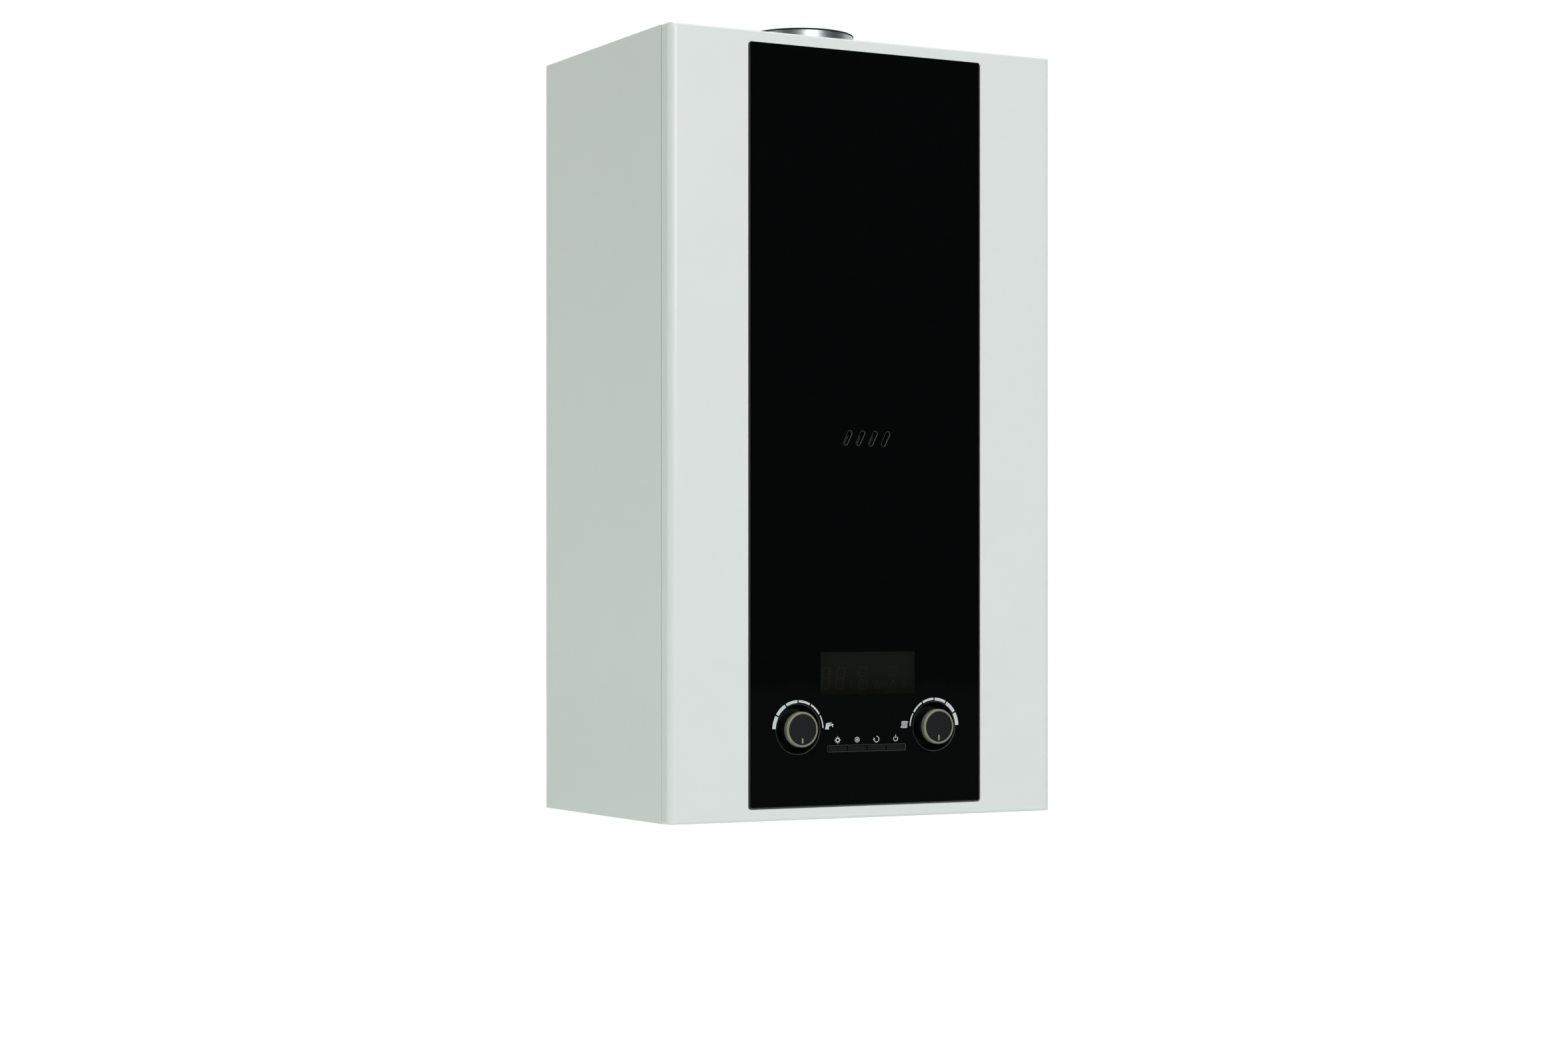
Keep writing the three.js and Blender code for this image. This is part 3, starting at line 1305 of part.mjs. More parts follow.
const finishes = {
  whitePaint: { color: 0xe6e9e7, roughness: 0.45, metalness: 0 },
  blackGlass: { color: 0x050606, roughness: 0.06, metalness: 0 },
  galvanised: { color: 0xa9adad, roughness: 0.42, metalness: 0.9 },
  sheetSteel: { color: 0xb9bcbc, roughness: 0.36, metalness: 0.9 },
  blackPlastic: { color: 0x141515, roughness: 0.4, metalness: 0 },
  greyPlastic: { color: 0x5b5f60, roughness: 0.55, metalness: 0 },
  champagne: { color: 0xa59f83, roughness: 0.3, metalness: 0.8 },
  displayGlass: { color: 0x141612, roughness: 0.15, metalness: 0 },
  circuitBoard: { color: 0x1f5a36, roughness: 0.5, metalness: 0 },
  clearGlass: { color: 0xcfd6d4, roughness: 0.05, metalness: 0 },
  copper: { color: 0xb8704c, roughness: 0.32, metalness: 1 },
  brass: { color: 0xb79a5b, roughness: 0.34, metalness: 1 },
  ceramic: { color: 0xe9e5da, roughness: 0.7, metalness: 0 },
  rubber: { color: 0x1c1c1c, roughness: 0.8, metalness: 0 },
  redPaint: { color: 0xa3241d, roughness: 0.4, metalness: 0 },
  redPlastic: { color: 0xb02a22, roughness: 0.45, metalness: 0 },
  bluePlastic: { color: 0x23549c, roughness: 0.45, metalness: 0 },
  castAluminium: { color: 0x9ea2a3, roughness: 0.5, metalness: 0.8 },
};

// One piece of the boiler: its name, its solid, its finish and where its own axis stands.
function piece(name, solid, finish, [x, y, z] = [0, 0, 0]) {
  const { vertProperties, triVerts } = solid.getMesh();
  const geometry = new THREE.BufferGeometry();
  geometry.setAttribute('position', new THREE.BufferAttribute(new Float32Array(vertProperties), 3));
  geometry.setIndex(new THREE.BufferAttribute(new Uint32Array(triVerts), 1));
  geometry.computeVertexNormals();
  const mesh = new THREE.Mesh(geometry, new THREE.MeshStandardMaterial(finishes[finish]));
  mesh.name = name;
  mesh.position.set(x, y, z);
  return mesh;
}

function assembly(...pieces) {
  const group = new THREE.Group();
  group.add(...pieces.flat());
  return group;
}

const cabinet = assembly(
  piece('back_frame', backFrame(), 'galvanised'),
  piece('side_panel_left', sidePanel(-1), 'whitePaint'),
  piece('side_panel_right', sidePanel(1), 'whitePaint'),
  piece('roof_panel', roofPanel(), 'whitePaint'),
  piece('bottom_plate', bottomPlate(), 'galvanised'),
  piece('air_chamber_floor', airChamberFloor(), 'galvanised'),
  piece('air_chamber_lid', airChamberLid(), 'galvanised'),
  piece('sight_glass', sightGlass(), 'clearGlass'),
  piece('flue_collar', flueCollar(), 'galvanised'),
  piece('flue_seal', flueSealRing(), 'rubber'),
  piece('flue_spigot', flueSpigot(), 'castAluminium'),
);

const door = assembly(
  piece('front_cover', frontCover(), 'whitePaint'),
  piece('glass_panel', glassPanel(), 'blackGlass'),
);

const dialNames = ['hot_water', 'heating'];
const buttonNames = ['summer', 'winter', 'reset', 'power'];

const controls = assembly(
  piece('control_box', controlBox(), 'greyPlastic'),
  piece('control_fascia', controlFascia(), 'blackPlastic'),
  piece('display_module', displayModule(), 'displayGlass'),
  piece('control_board', controlBoard(), 'circuitBoard'),
  dialNames.flatMap((name, i) => [
    piece(`selector_shaft_${name}`, selectorShaft(), 'greyPlastic', [dialX[i], front, dial.height]),
    piece(`knob_${name}`, knobBody(), 'blackPlastic', [dialX[i], front, dial.height]),
    piece(`knob_ring_${name}`, knobRing(), 'champagne', [dialX[i], front, dial.height]),
  ]),
  buttonNames.map((name, i) =>
    piece(`button_${name}`, buttonBody(), 'blackPlastic', [buttonX[i], front, button.level])),
);

const combustion = assembly(
  piece('combustion_chamber', combustionChamber(), 'sheetSteel'),
  piece('chamber_insulation', chamberInsulation(), 'ceramic'),
  piece('chamber_bracket_left', chamberBracketOn(-1), 'galvanised'),
  piece('chamber_bracket_right', chamberBracketOn(1), 'galvanised'),
  piece('heat_exchanger', heatExchanger(), 'copper'),
  piece('flue_hood', flueHood(), 'sheetSteel'),
  piece('fan_volute', fanVolute(), 'castAluminium'),
  piece('fan_impeller', fanImpeller(), 'sheetSteel'),
  piece('fan_motor', fanMotor(), 'blackPlastic'),
  piece('burner', burnerAssembly(), 'sheetSteel'),
  piece('gas_manifold', gasManifold(), 'castAluminium'),
  piece('ignition_electrode', ignitionElectrode(), 'ceramic'),
  piece('air_pressure_switch', airPressureSwitch(), 'greyPlastic'),
  piece('pressure_tube', pressureTubeRun(), 'rubber'),
);

const hydraulics = assembly(
  piece('expansion_vessel', expansionVessel(), 'redPaint'),
  piece('diverter_valve', diverterValve(), 'brass'),
  piece('diverter_actuator', diverterActuator(), 'blackPlastic'),
  piece('pump_body', pumpBody(), 'brass'),
  piece('pump_motor', pumpMotorBody(), 'greyPlastic'),
  piece('plate_heat_exchanger', plateHeatExchanger(), 'sheetSteel'),
  piece(
    'safety_valve_cap', safetyCap(), 'redPlastic',
    [safety.x, -safety.front - fit - safety.capDepth, safety.level],
  ),
  piece('filling_knob', fillingKnob(), 'bluePlastic', [filling.x, -union.setback, filling.knobLow]),
  piece('gas_valve', gasValveBody(), 'castAluminium'),
  piece('flow_pipe', flowPipe(), 'copper'),
  piece('return_pipe', returnPipe(), 'copper'),
  piece('gas_pipe', gasPipeRun(), 'copper'),
  piece('cable_gland', cableGland(), 'blackPlastic', [gland.x, -gland.setback, 0]),
  unionNames.map((name, i) =>
    piece(`union_${name}`, pipeUnion(i), 'brass', [unionX[i], -union.setback, 0])),
);

const boiler = assembly(cabinet, door, controls, combustion, hydraulics);
boiler.position.z = -hangHeight;

export default boiler;
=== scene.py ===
# %% [markdown]
# # Dressing a wall-hung gas boiler
# A boiler like this is a white steel case with a black glass front, hung on a wall. The CAD pack
# holds its pieces at their real places, as faceted solids. This lesson loads them as a fixed
# frame, then makes the pieces that the eye judges: the folded cover, the glass, the dials, the
# keys, the prints and the flue collar, each with its material.

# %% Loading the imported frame
import math

import bmesh
import bpy
from mathutils import Matrix, Vector


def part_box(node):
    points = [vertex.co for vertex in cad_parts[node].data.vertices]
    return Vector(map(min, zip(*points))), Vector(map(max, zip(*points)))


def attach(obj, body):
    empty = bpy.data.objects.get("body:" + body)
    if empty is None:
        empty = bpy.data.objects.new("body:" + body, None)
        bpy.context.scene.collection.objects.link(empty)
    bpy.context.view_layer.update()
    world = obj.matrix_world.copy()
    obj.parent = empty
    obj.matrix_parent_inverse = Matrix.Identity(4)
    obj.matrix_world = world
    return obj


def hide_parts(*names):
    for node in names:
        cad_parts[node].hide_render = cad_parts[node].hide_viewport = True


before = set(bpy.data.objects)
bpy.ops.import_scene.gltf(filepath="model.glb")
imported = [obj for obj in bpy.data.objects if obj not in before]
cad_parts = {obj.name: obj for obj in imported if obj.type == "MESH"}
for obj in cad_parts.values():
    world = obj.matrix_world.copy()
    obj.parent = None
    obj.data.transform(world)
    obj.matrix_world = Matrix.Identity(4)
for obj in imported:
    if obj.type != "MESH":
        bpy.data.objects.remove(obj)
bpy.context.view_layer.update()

scene = bpy.context.scene

# %% [markdown]
# ## One way of writing places
# Blender counts in metres, and a sheet-metal worker thinks in millimetres. Every shape below is
# written in millimetres: x to the right, depth backwards from the front face of the cover, and
# height upwards from the lower edge of the case. One function turns such a place into metres,
# and the two planes that it starts from are read off the cover in the frame.

# %% From millimetres to the frame
MM = 0.001
cover_low, cover_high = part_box("front_cover")
FRONT, FOOT = cover_low.y, cover_low.z


def at(x, depth, height):
    return Vector((x * MM, FRONT + depth * MM, FOOT + height * MM))


def extent_of(node):
    """A node's ranges in x, depth and height, in millimetres."""
    low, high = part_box(node)
    return tuple(((low[axis] - start) / MM, (high[axis] - start) / MM)
                 for axis, start in enumerate((0, FRONT, FOOT)))


def middle(span):
    return (span[0] + span[1]) / 2


def half(span):
    return (span[1] - span[0]) / 2


def grow(span, by):
    return span[0] - by, span[1] + by


def about(centre, reach):
    return centre - reach, centre + reach


print("case height:", round((cover_high.z - cover_low.z) / MM, 1), "mm")

# %% Objects that come and go
def linked(name, data):
    thing = bpy.data.objects.new(name, data)
    scene.collection.objects.link(thing)
    return thing


def discard(piece):
    mesh = piece.data
    bpy.data.objects.remove(piece)
    bpy.data.meshes.remove(mesh)


# %% [markdown]
# ## Camera
# The photograph looks at the boiler from its left front, level with the knobs' upper edge, so
# every upright edge stays upright: the camera doesn't tilt. Its picture is shifted instead, as
# with a view camera, which moves the horizon down the frame without bending the uprights.

# %% The photograph's viewpoint
PHOTO_WIDTH, PHOTO_HEIGHT = 2352, 1568
FOCAL_PIXELS, HORIZON_PIXEL = 4682, 894.6
SENSOR = 36
CAMERA_PLACE, CAMERA_TURN = (-1421, -2458.3, 201.5), -28.51

camera_data = bpy.data.cameras.new("photo_camera")
camera_data.sensor_width = SENSOR
camera_data.lens = FOCAL_PIXELS / PHOTO_WIDTH * SENSOR
camera_data.shift_y = (HORIZON_PIXEL - PHOTO_HEIGHT / 2) / PHOTO_WIDTH
camera = linked("photo_camera", camera_data)
camera.location = at(*CAMERA_PLACE)
camera.rotation_euler = (math.radians(90), 0, math.radians(CAMERA_TURN))
scene.camera = camera
print("lens:", round(camera_data.lens, 1), "mm")

# %% [markdown]
# ## Wiring nodes
# Materials, shapes and the world are all trees of nodes, and each tree is written in one way. A
# node gets its settings by name, and each of its inputs is either a plain value or the socket that
# feeds it. A node given instead of a socket stands for its first output.

# %% Nodes, sums and groups
def fed(node, inputs):
    for name, value in inputs.items():
        if isinstance(value, bpy.types.Node):
            value = value.outputs[0]
        if isinstance(value, bpy.types.NodeSocket):
            node.id_data.links.new(value, node.inputs[name])
        else:
            node.inputs[name].default_value = value
    return node


def wired(tree, kind, inputs={}, **settings):
    node = tree.nodes.new(kind)
    for name, value in settings.items():
        setattr(node, name, value)
    return fed(node, inputs)


def reckoned(tree, operation, *values):
    return wired(tree, "ShaderNodeMath", dict(enumerate(values)), operation=operation)


def group_of(kind, name, inputs, outputs):
    """An empty group: its tree, the sockets that it gives and the node that takes its results."""
    tree = bpy.data.node_groups.new(name, f"{kind}NodeTree")
    for label, sort, value in inputs:
        socket = tree.interface.new_socket(label, in_out="INPUT", socket_type=f"NodeSocket{sort}")
        if value is not None:
            socket.default_value = value
    for label, sort in outputs:
        tree.interface.new_socket(label, in_out="OUTPUT", socket_type=f"NodeSocket{sort}")
    return tree, tree.nodes.new("NodeGroupInput").outputs, tree.nodes.new("NodeGroupOutput")


# %% [markdown]
# ## Surface effects
# Real finishes are never one flat colour. Enamel has a faint orange peel, zinc has spangles,
# rolled steel is brushed, moulded plastic has a grain. Each effect is a node group that takes a
# scale and gives a tone and a height, both between 0 and 1, so a material can put any effect into
# its colour, roughness and bump in the same way. The groups read Object coordinates, because
# every finished piece sits at the origin, so a pattern never slides.

# %% A node group for each effect
def effect_group(build):
    tree, given, outlet = group_of("Shader", build.__name__, [("Scale", "Float", 100)],
                                   [("Tone", "Float"), ("Height", "Float")])
    place = wired(tree, "ShaderNodeTexCoord").outputs["Object"]
    tone, height = build(tree, place, given["Scale"])
    fed(outlet, {"Tone": tone, "Height": height})
    return tree


def noise(tree, place, scale, factor=1.0, detail=2.0, stretch=None):
    if stretch:
        place = wired(tree, "ShaderNodeMapping", {"Scale": stretch, "Vector": place})
    return wired(tree, "ShaderNodeTexNoise", {
        "Detail": detail, "Vector": place, "Scale": reckoned(tree, "MULTIPLY", scale, factor)})


def orange_peel(tree, place, scale):
    return noise(tree, place, scale, 0.02, 3), noise(tree, place, scale)


def brushing(tree, place, scale):
    along = (1, 1, 0.02)
    return noise(tree, place, scale, 0.2, 3, along), noise(tree, place, scale, 1, 2, along)


def grain(tree, place, scale):
    return noise(tree, place, scale, 0.1, 3), noise(tree, place, scale, 1, 4)


def spangle(tree, place, scale):
    cells = wired(tree, "ShaderNodeTexVoronoi", {"Vector": place, "Scale": scale}, feature="F1")
    shade = wired(tree, "ShaderNodeSeparateColor", {"Color": cells.outputs["Color"]})
    return shade, noise(tree, place, scale, 0.5, 3)


EFFECTS = {build.__name__: effect_group(build)
           for build in (orange_peel, brushing, grain, spangle)}
print("effects:", ", ".join(EFFECTS))

# %% [markdown]
# ## Materials
# Each finish keeps its own Principled BSDF. The effect's tone mixes two close colours and moves
# the roughness a little, and its height goes through a Bump node. The colours are written in the
# 0 to 255 values of a picture, and turned into the linear values that the shader wants.

# %% How a finish is made
SOCKETS = {"coat": "Coat Weight", "coat_rough": "Coat Roughness", "metal": "Metallic", "ior": "IOR",
           "clear": "Transmission Weight", "shine": "Specular IOR Level"}


def linear(value):
    value /= 255
    return value / 12.92 if value <= 0.04045 else ((value + 0.055) / 1.055) ** 2.4


def colour(rgb):
    return (*map(linear, rgb), 1)


def finish(name, light, dark, rough, scale, bump=0.0, effect="grain", **sockets):
    """bump: height in millimetres. Further sockets of the shader go by their names."""
    material = bpy.data.materials.new(name)
    material.use_nodes = True
    tree = material.node_tree
    pattern = wired(tree, "ShaderNodeGroup", {"Scale": scale}, node_tree=EFFECTS[effect])
    blend = wired(tree, "ShaderNodeMix", {
        "A": colour(dark), "B": colour(light), "Factor": pattern}, data_type="RGBA")
    spread = wired(tree, "ShaderNodeMapRange", {
        "To Min": rough[0], "To Max": rough[1], "Value": pattern})
    shader = fed(tree.nodes["Principled BSDF"], {
        "Base Color": blend.outputs["Result"], "Roughness": spread,
        **{SOCKETS[key]: value for key, value in sockets.items()}})
    if bump:
        height = pattern.outputs["Height"]
        relief = wired(tree, "ShaderNodeBump", {"Distance": bump * MM, "Height": height})
        fed(shader, {"Normal": relief})
    return material


# %% Finishes
enamel = finish("white_enamel", (235, 240, 236), (232, 237, 233), (0.30, 0.36), 900, 0.02,
                "orange_peel", coat=0.15, coat_rough=0.1)
black_glass = finish("black_glass", (6, 8, 8), (4, 6, 6), (0.02, 0.05), 60, 0, "orange_peel", shine=0.5)
tinted_glass = finish("tinted_window", (118, 122, 112), (114, 118, 108), (0.02, 0.04), 60, 0,
                      "orange_peel", clear=1, ior=1.5)
# The ground edge's grey is partly its own frosted tone and partly a painted highlight, for the line of
# light it catches.
edge_grey_and_highlight = finish("ground_edge", (70, 74, 72), (60, 64, 62), (0.45, 0.55), 4000)
smoked_glass = finish("sight_glass", (44, 40, 36), (38, 35, 31), (0.06, 0.1), 60, 0,
                      "orange_peel", clear=1, ior=1.5)
print_ink = finish("pale_print", (214, 222, 222), (206, 215, 215), (0.5, 0.6), 4000, 0.002)
champagne = finish("champagne_metal", (180, 182, 154), (166, 168, 142), (0.38, 0.48), 3000, 0.004,
                   metal=0.55)
knob_black = finish("knob_plastic", (18, 21, 22), (14, 17, 18), (0.4, 0.5), 5000, 0.012)
key_black = finish("key_plastic", (14, 17, 16), (11, 14, 13), (0.32, 0.42), 5000, 0.008)
pointer_grey = finish("pointer_grey", (150, 154, 154), (140, 145, 145), (0.45, 0.55), 4000)
fascia_black = finish("fascia_plastic", (14, 15, 15), (11, 12, 12), (0.38, 0.5), 3000, 0.01)
display_face = finish("display_face", (46, 58, 44), (41, 52, 40), (0.35, 0.5), 900)
display_ghost = finish("display_ghost", (158, 104, 66), (150, 98, 62), (0.4, 0.5), 2000)
zinc = finish("galvanised", (200, 204, 204), (182, 187, 188), (0.32, 0.42), 160, 0.02, "spangle",
              metal=1)
fine_zinc = finish("spun_zinc", (190, 202, 200), (180, 193, 191), (0.34, 0.42), 1600, 0.008, metal=1)
steel = finish("sheet_steel", (205, 207, 207), (188, 190, 191), (0.22, 0.34), 1500, 0.006, "brushing",
               metal=1)
cast = finish("cast_aluminium", (186, 189, 190), (166, 169, 171), (0.42, 0.56), 1800, 0.06, metal=0.9)
copper = finish("drawn_copper", (214, 146, 110), (188, 118, 84), (0.22, 0.36), 700, 0.005, "brushing",
                metal=1)
brass = finish("pressed_brass", (206, 182, 118), (186, 160, 96), (0.26, 0.4), 1200, 0.02, metal=1)
rubber = finish("black_rubber", (34, 35, 35), (26, 27, 27), (0.7, 0.85), 2500, 0.03)
motor_black = finish("motor_black", (40, 41, 42), (32, 33, 34), (0.45, 0.6), 2600, 0.03)
pump_grey = finish("pump_grey", (92, 96, 99), (80, 84, 87), (0.4, 0.55), 1800, 0.04)
grey_plastic = finish("grey_plastic", (134, 137, 139), (124, 127, 129), (0.45, 0.58), 3000, 0.02)
board_green = finish("circuit_board", (44, 112, 66), (34, 96, 54), (0.25, 0.4), 1500, 0.01)
fibre = finish("ceramic_fibre", (236, 232, 220), (218, 213, 198), (0.85, 0.95), 1400, 0.2)
ceramic = finish("white_ceramic", (240, 238, 230), (228, 226, 218), (0.4, 0.5), 1500, 0.01)
red_enamel = finish("red_enamel", (176, 42, 34), (158, 34, 28), (0.28, 0.38), 700, 0.03,
                    "orange_peel", coat=0.2)
red_plastic = finish("red_plastic", (196, 44, 36), (182, 36, 30), (0.35, 0.45), 3000, 0.01)
blue_plastic = finish("blue_plastic", (44, 92, 168), (36, 80, 150), (0.35, 0.45), 3000, 0.01)
print("finishes:", len(bpy.data.materials))

# %% [markdown]
# ## Making meshes
# Three helpers make nearly every piece. `finished` takes a bmesh drawn in millimetres, closes its
# seams, turns its faces outwards, moves it into the frame and lets it ride on a body. `turned`
# spins a profile, as a lathe does. `plate` pushes an outline with holes backwards and rounds its
# edges, as a ground pane or a moulded key has them.

# %% Finishing a mesh
CREASE = math.radians(32)
SEAM, SLIVER = 0.0005, 0.0002


def closed(drawing, seam=SEAM, sliver=None):
    bmesh.ops.remove_doubles(drawing, verts=drawing.verts, dist=seam)
    if sliver:
        bmesh.ops.dissolve_degenerate(drawing, edges=drawing.edges, dist=sliver)
    bmesh.ops.recalc_face_normals(drawing, faces=drawing.faces)


def poured(drawing, mesh):
    drawing.to_mesh(mesh)
    drawing.free()
    return mesh


def evaluated(piece):
    """A new mesh of a piece with its modifiers applied."""
    bpy.context.view_layer.update()
    return bpy.data.meshes.new_from_object(
        piece.evaluated_get(bpy.context.evaluated_depsgraph_get()))


def finished(name, drawing, material, body, stands_for=(), crease=CREASE):
    closed(drawing, sliver=SLIVER)
    for vertex in drawing.verts:
        vertex.co = at(*vertex.co)
    piece = linked(name, poured(drawing, bpy.data.meshes.new(name)))
    piece.data.materials.append(material)
    return settled(piece, body, stands_for, crease)


def settled(piece, body, stands_for=(), crease=CREASE):
    """Smooth shading with sharp creases, in which large flat faces stay flat."""
    piece.data.shade_smooth()
    piece.data.set_sharp_from_angle(angle=crease)
    weigh = piece.modifiers.new("weigh", "WEIGHTED_NORMAL")
    weigh.keep_sharp, weigh.weight = True, 100
    shaped = evaluated(piece)
    piece.modifiers.clear()
    plain, piece.data = piece.data, shaped
    bpy.data.meshes.remove(plain)
    shaped.name = piece.name
    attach(piece, body)
    if stands_for:
        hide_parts(*stands_for)
    print(piece.name, "faces:", len(shaped.polygons))
    return piece


# %% Arcs and rings
def arc(centre, radius, start, stop, steps):
    """Points from start to stop in degrees, counted anticlockwise from the right."""
    angles = [math.radians(start + (stop - start) * k / steps) for k in range(steps + 1)]
    return [(centre[0] + radius * math.cos(a), centre[1] + radius * math.sin(a)) for a in angles]


def around(centre, radius, count, first=0):
    return arc(centre, radius, first, first + 360, count)[:-1]


def skinned(drawing, rings):
    """Faces between each ring of points and the next. A ring of one point closes the form."""
    for first, second in zip(rings, rings[1:]):
        for k in range(max(len(first), len(second))):
            corners = (first[k % len(first)], first[(k + 1) % len(first)],
                       second[(k + 1) % len(second)], second[k % len(second)])
            drawing.faces.new(tuple(dict.fromkeys(corners)))


def turned(profile, place, axis="depth", steps=96):
    """profile: places [radius, along the axis]; place: the axis's other two coordinates."""
    drawing, rings = bmesh.new(), []
    for radius, along in profile:
        points = around(place, radius, steps) if radius else [place]
        rings.append([drawing.verts.new((x, along, y) if axis == "depth" else (x, y, along))
                      for x, y in points])
    skinned(drawing, rings)
    return drawing


# %% Outlines that can grow
def circle(centre, radius, steps=96):
    return lambda margin: around(centre, radius + margin, steps)


def rounded(x, height, radius, steps=8):
    def outline(margin):
        r = max(radius + margin, 0.01)
        left, right = x[0] - margin + r, x[1] + margin - r
        low, high = height[0] - margin + r, height[1] + margin - r
        corners = (right, high), (left, high), (left, low), (right, low)
        return [point for k, corner in enumerate(corners)
                for point in arc(corner, r, 90 * k, 90 * k + 90, steps)]
    return outline


def capsule(centre, width, length, lean, steps=12):
    """A slot with round ends, leaning to the right of upright by an angle in degrees."""
    ends = arc(centre, (length - width) / 2, 90 - lean, 270 - lean, 1)
    return lambda margin: [point for end, start in zip(ends, (-lean, 180 - lean))
                           for point in arc(end, width / 2 + margin, start, start + 180, steps)]


# %% Pushing an outline
def rim_of(drawing, ring):
    return [drawing.edges.get(pair) or drawing.edges.new(pair)
            for pair in zip(ring, ring[1:] + ring[:1])]


def filled(drawing, rim):
    bmesh.ops.triangle_fill(drawing, edges=rim, use_beauty=True, normal=(0, -1, 0))


def plate(outline, depths, holes=(), edge=0.0, rear_edge=0.0, steps=3, drawing=None):
    """A slab facing forwards. edge and rear_edge round its front and rear rims."""
    drawing = drawing or bmesh.new()
    front, rear = depths
    levels = arc((front + edge, -edge), edge, 180, 90, steps) if edge else [(front, 0)]
    levels += (arc((rear - rear_edge, -rear_edge), rear_edge, 90, 0, steps) if rear_edge
               else [(rear, 0)])
    front_rim, rear_rim = [], []
    for form, sign in [(outline, 1)] + [(hole, -1) for hole in holes]:
        rings = [[drawing.verts.new((u, depth, v)) for u, v in form(sign * margin)]
                 for depth, margin in levels]
        skinned(drawing, rings)
        front_rim += rim_of(drawing, rings[0])
        rear_rim += rim_of(drawing, rings[-1])
    filled(drawing, front_rim)
    filled(drawing, rear_rim)
    return drawing


# %% Cutting and joining whole pieces
def rough_piece(name, drawing):
    closed(drawing)
    return linked(name, poured(drawing, bpy.data.meshes.new(name)))


def combined(first, tools, operation="DIFFERENCE"):
    """A bmesh of one drawing cut by, or joined with, other drawings, all in millimetres."""
    target = rough_piece("target", first)
    others = [rough_piece("tool", tool) for tool in tools]
    for other in others:
        step = target.modifiers.new("step", "BOOLEAN")
        step.operation, step.solver, step.object = operation, "EXACT", other
    result = bmesh.new()
    result.from_object(target, bpy.context.evaluated_depsgraph_get())
    for piece in (target, *others):
        discard(piece)
    return result


print("helpers ready")

# %% [markdown]
# ## Front cover
# The cover is one sheet of steel, folded back all round and sunk in the middle to take the glass.
# Its upright edges are wider arcs than its top and bottom edges. The sheet is drawn as a row of
# loops, each a rounded rectangle further along it: from the rear lip, round the edge, over the
# face, down the sunk wall and onto its floor. The loops are joined in order and given thickness.

# %% The measures of the sheet
SHEET = 1.0
cover_x, cover_depth, cover_height = extent_of("front_cover")
glass_x, glass_depth, glass_height = extent_of("glass_panel")
SIDE_ARC, TOP_ARC, LIP, GLASS_GAP = 8.0, 4.0, 9.0, 0.9
CORNER, LIP_CORNER, SUNK_CORNER = 2.0, 1.0, 2.9
GLASS_BED, LARGE_FACE = 0.3, 1000
REAR_BEND, SINK_BEND, BEND_STEPS = 1.2, 0.7, 4
ARC_STEPS, CORNER_STEPS = 10, 8
CONTROL_OPENING = (-106, 106), (38, 168), 6
FLAME_OPENING = (-35, 35), (332, 358), 3
TONGUE_X, TONGUE_HOLE_WIDTH, TONGUE_HOLE_HEIGHT = 120, 30.6, (702.9, 705.2)
COVER_CREASE = math.radians(24)
print("cover depth:", round(cover_depth[1], 1), "mm")


# %% The folded sheet
def loop(drawing, side_in, top_in, side_depth, top_depth, radius):
    """One line along the sheet. Its sides and its top and bottom may lie at different depths."""
    points = rounded(grow(cover_x, -side_in), grow(cover_height, -top_in), radius, CORNER_STEPS)(0)
    slopes = rounded((-1, 1), (-1, 1), 1, CORNER_STEPS)(0)
    return [drawing.verts.new((x, side_depth * (1 - v * v) + top_depth * v * v, z))
            for (x, z), (_, v) in zip(points, slopes)]


def cover_loops(drawing):
    rear, floor = cover_depth[1], glass_depth[1] + GLASS_BED
    side_in = glass_x[0] - GLASS_GAP - cover_x[0]
    top_in = glass_height[0] - GLASS_GAP - cover_height[0]
    rows = [(LIP, LIP, rear, rear, LIP_CORNER)]
    rows += [(inward, inward, depth, depth, CORNER) for inward, depth in
             arc((REAR_BEND, rear - REAR_BEND), REAR_BEND, 90, 180, BEND_STEPS)]
    rows += [(side[0], top[0], side[1], top[1], CORNER) for side, top in
             zip(*(arc((size, size), size, 180, 270, ARC_STEPS) for size in (SIDE_ARC, TOP_ARC)))]
    rows += [(side_in - out, top_in - out, depth, depth, SUNK_CORNER + out) for out, depth in
             arc((SINK_BEND, SINK_BEND), SINK_BEND, 270, 180, BEND_STEPS)]
    rows += [(side_in, top_in, floor, floor, SUNK_CORNER)]
    return [loop(drawing, *row) for row in rows]


def front_cover():
    drawing = bmesh.new()
    loops = cover_loops(drawing)
    skinned(drawing, loops)
    rim = rim_of(drawing, loops[-1])
    floor = loops[-1][0].co.y
    for opening in (rounded(*CONTROL_OPENING), rounded(*FLAME_OPENING)):
        rim += rim_of(drawing, [drawing.verts.new((u, floor, v)) for u, v in opening(0)])
    filled(drawing, rim)
    closed(drawing)
    faces_out = sum(face.normal.y for face in drawing.faces if face.calc_area() > LARGE_FACE) < 0
    bmesh.ops.solidify(drawing, geom=drawing.faces[:], thickness=SHEET if faces_out else -SHEET)
    return drawing


tongue_holes = [
    plate(rounded(about(x, TONGUE_HOLE_WIDTH / 2), TONGUE_HOLE_HEIGHT, 0.2, 2),
          about(cover_depth[1], 3)) for x in (-TONGUE_X, TONGUE_X)]
finished("cover_shell", combined(front_cover(), tongue_holes), enamel, "cover",
         ("front_cover",), COVER_CREASE)
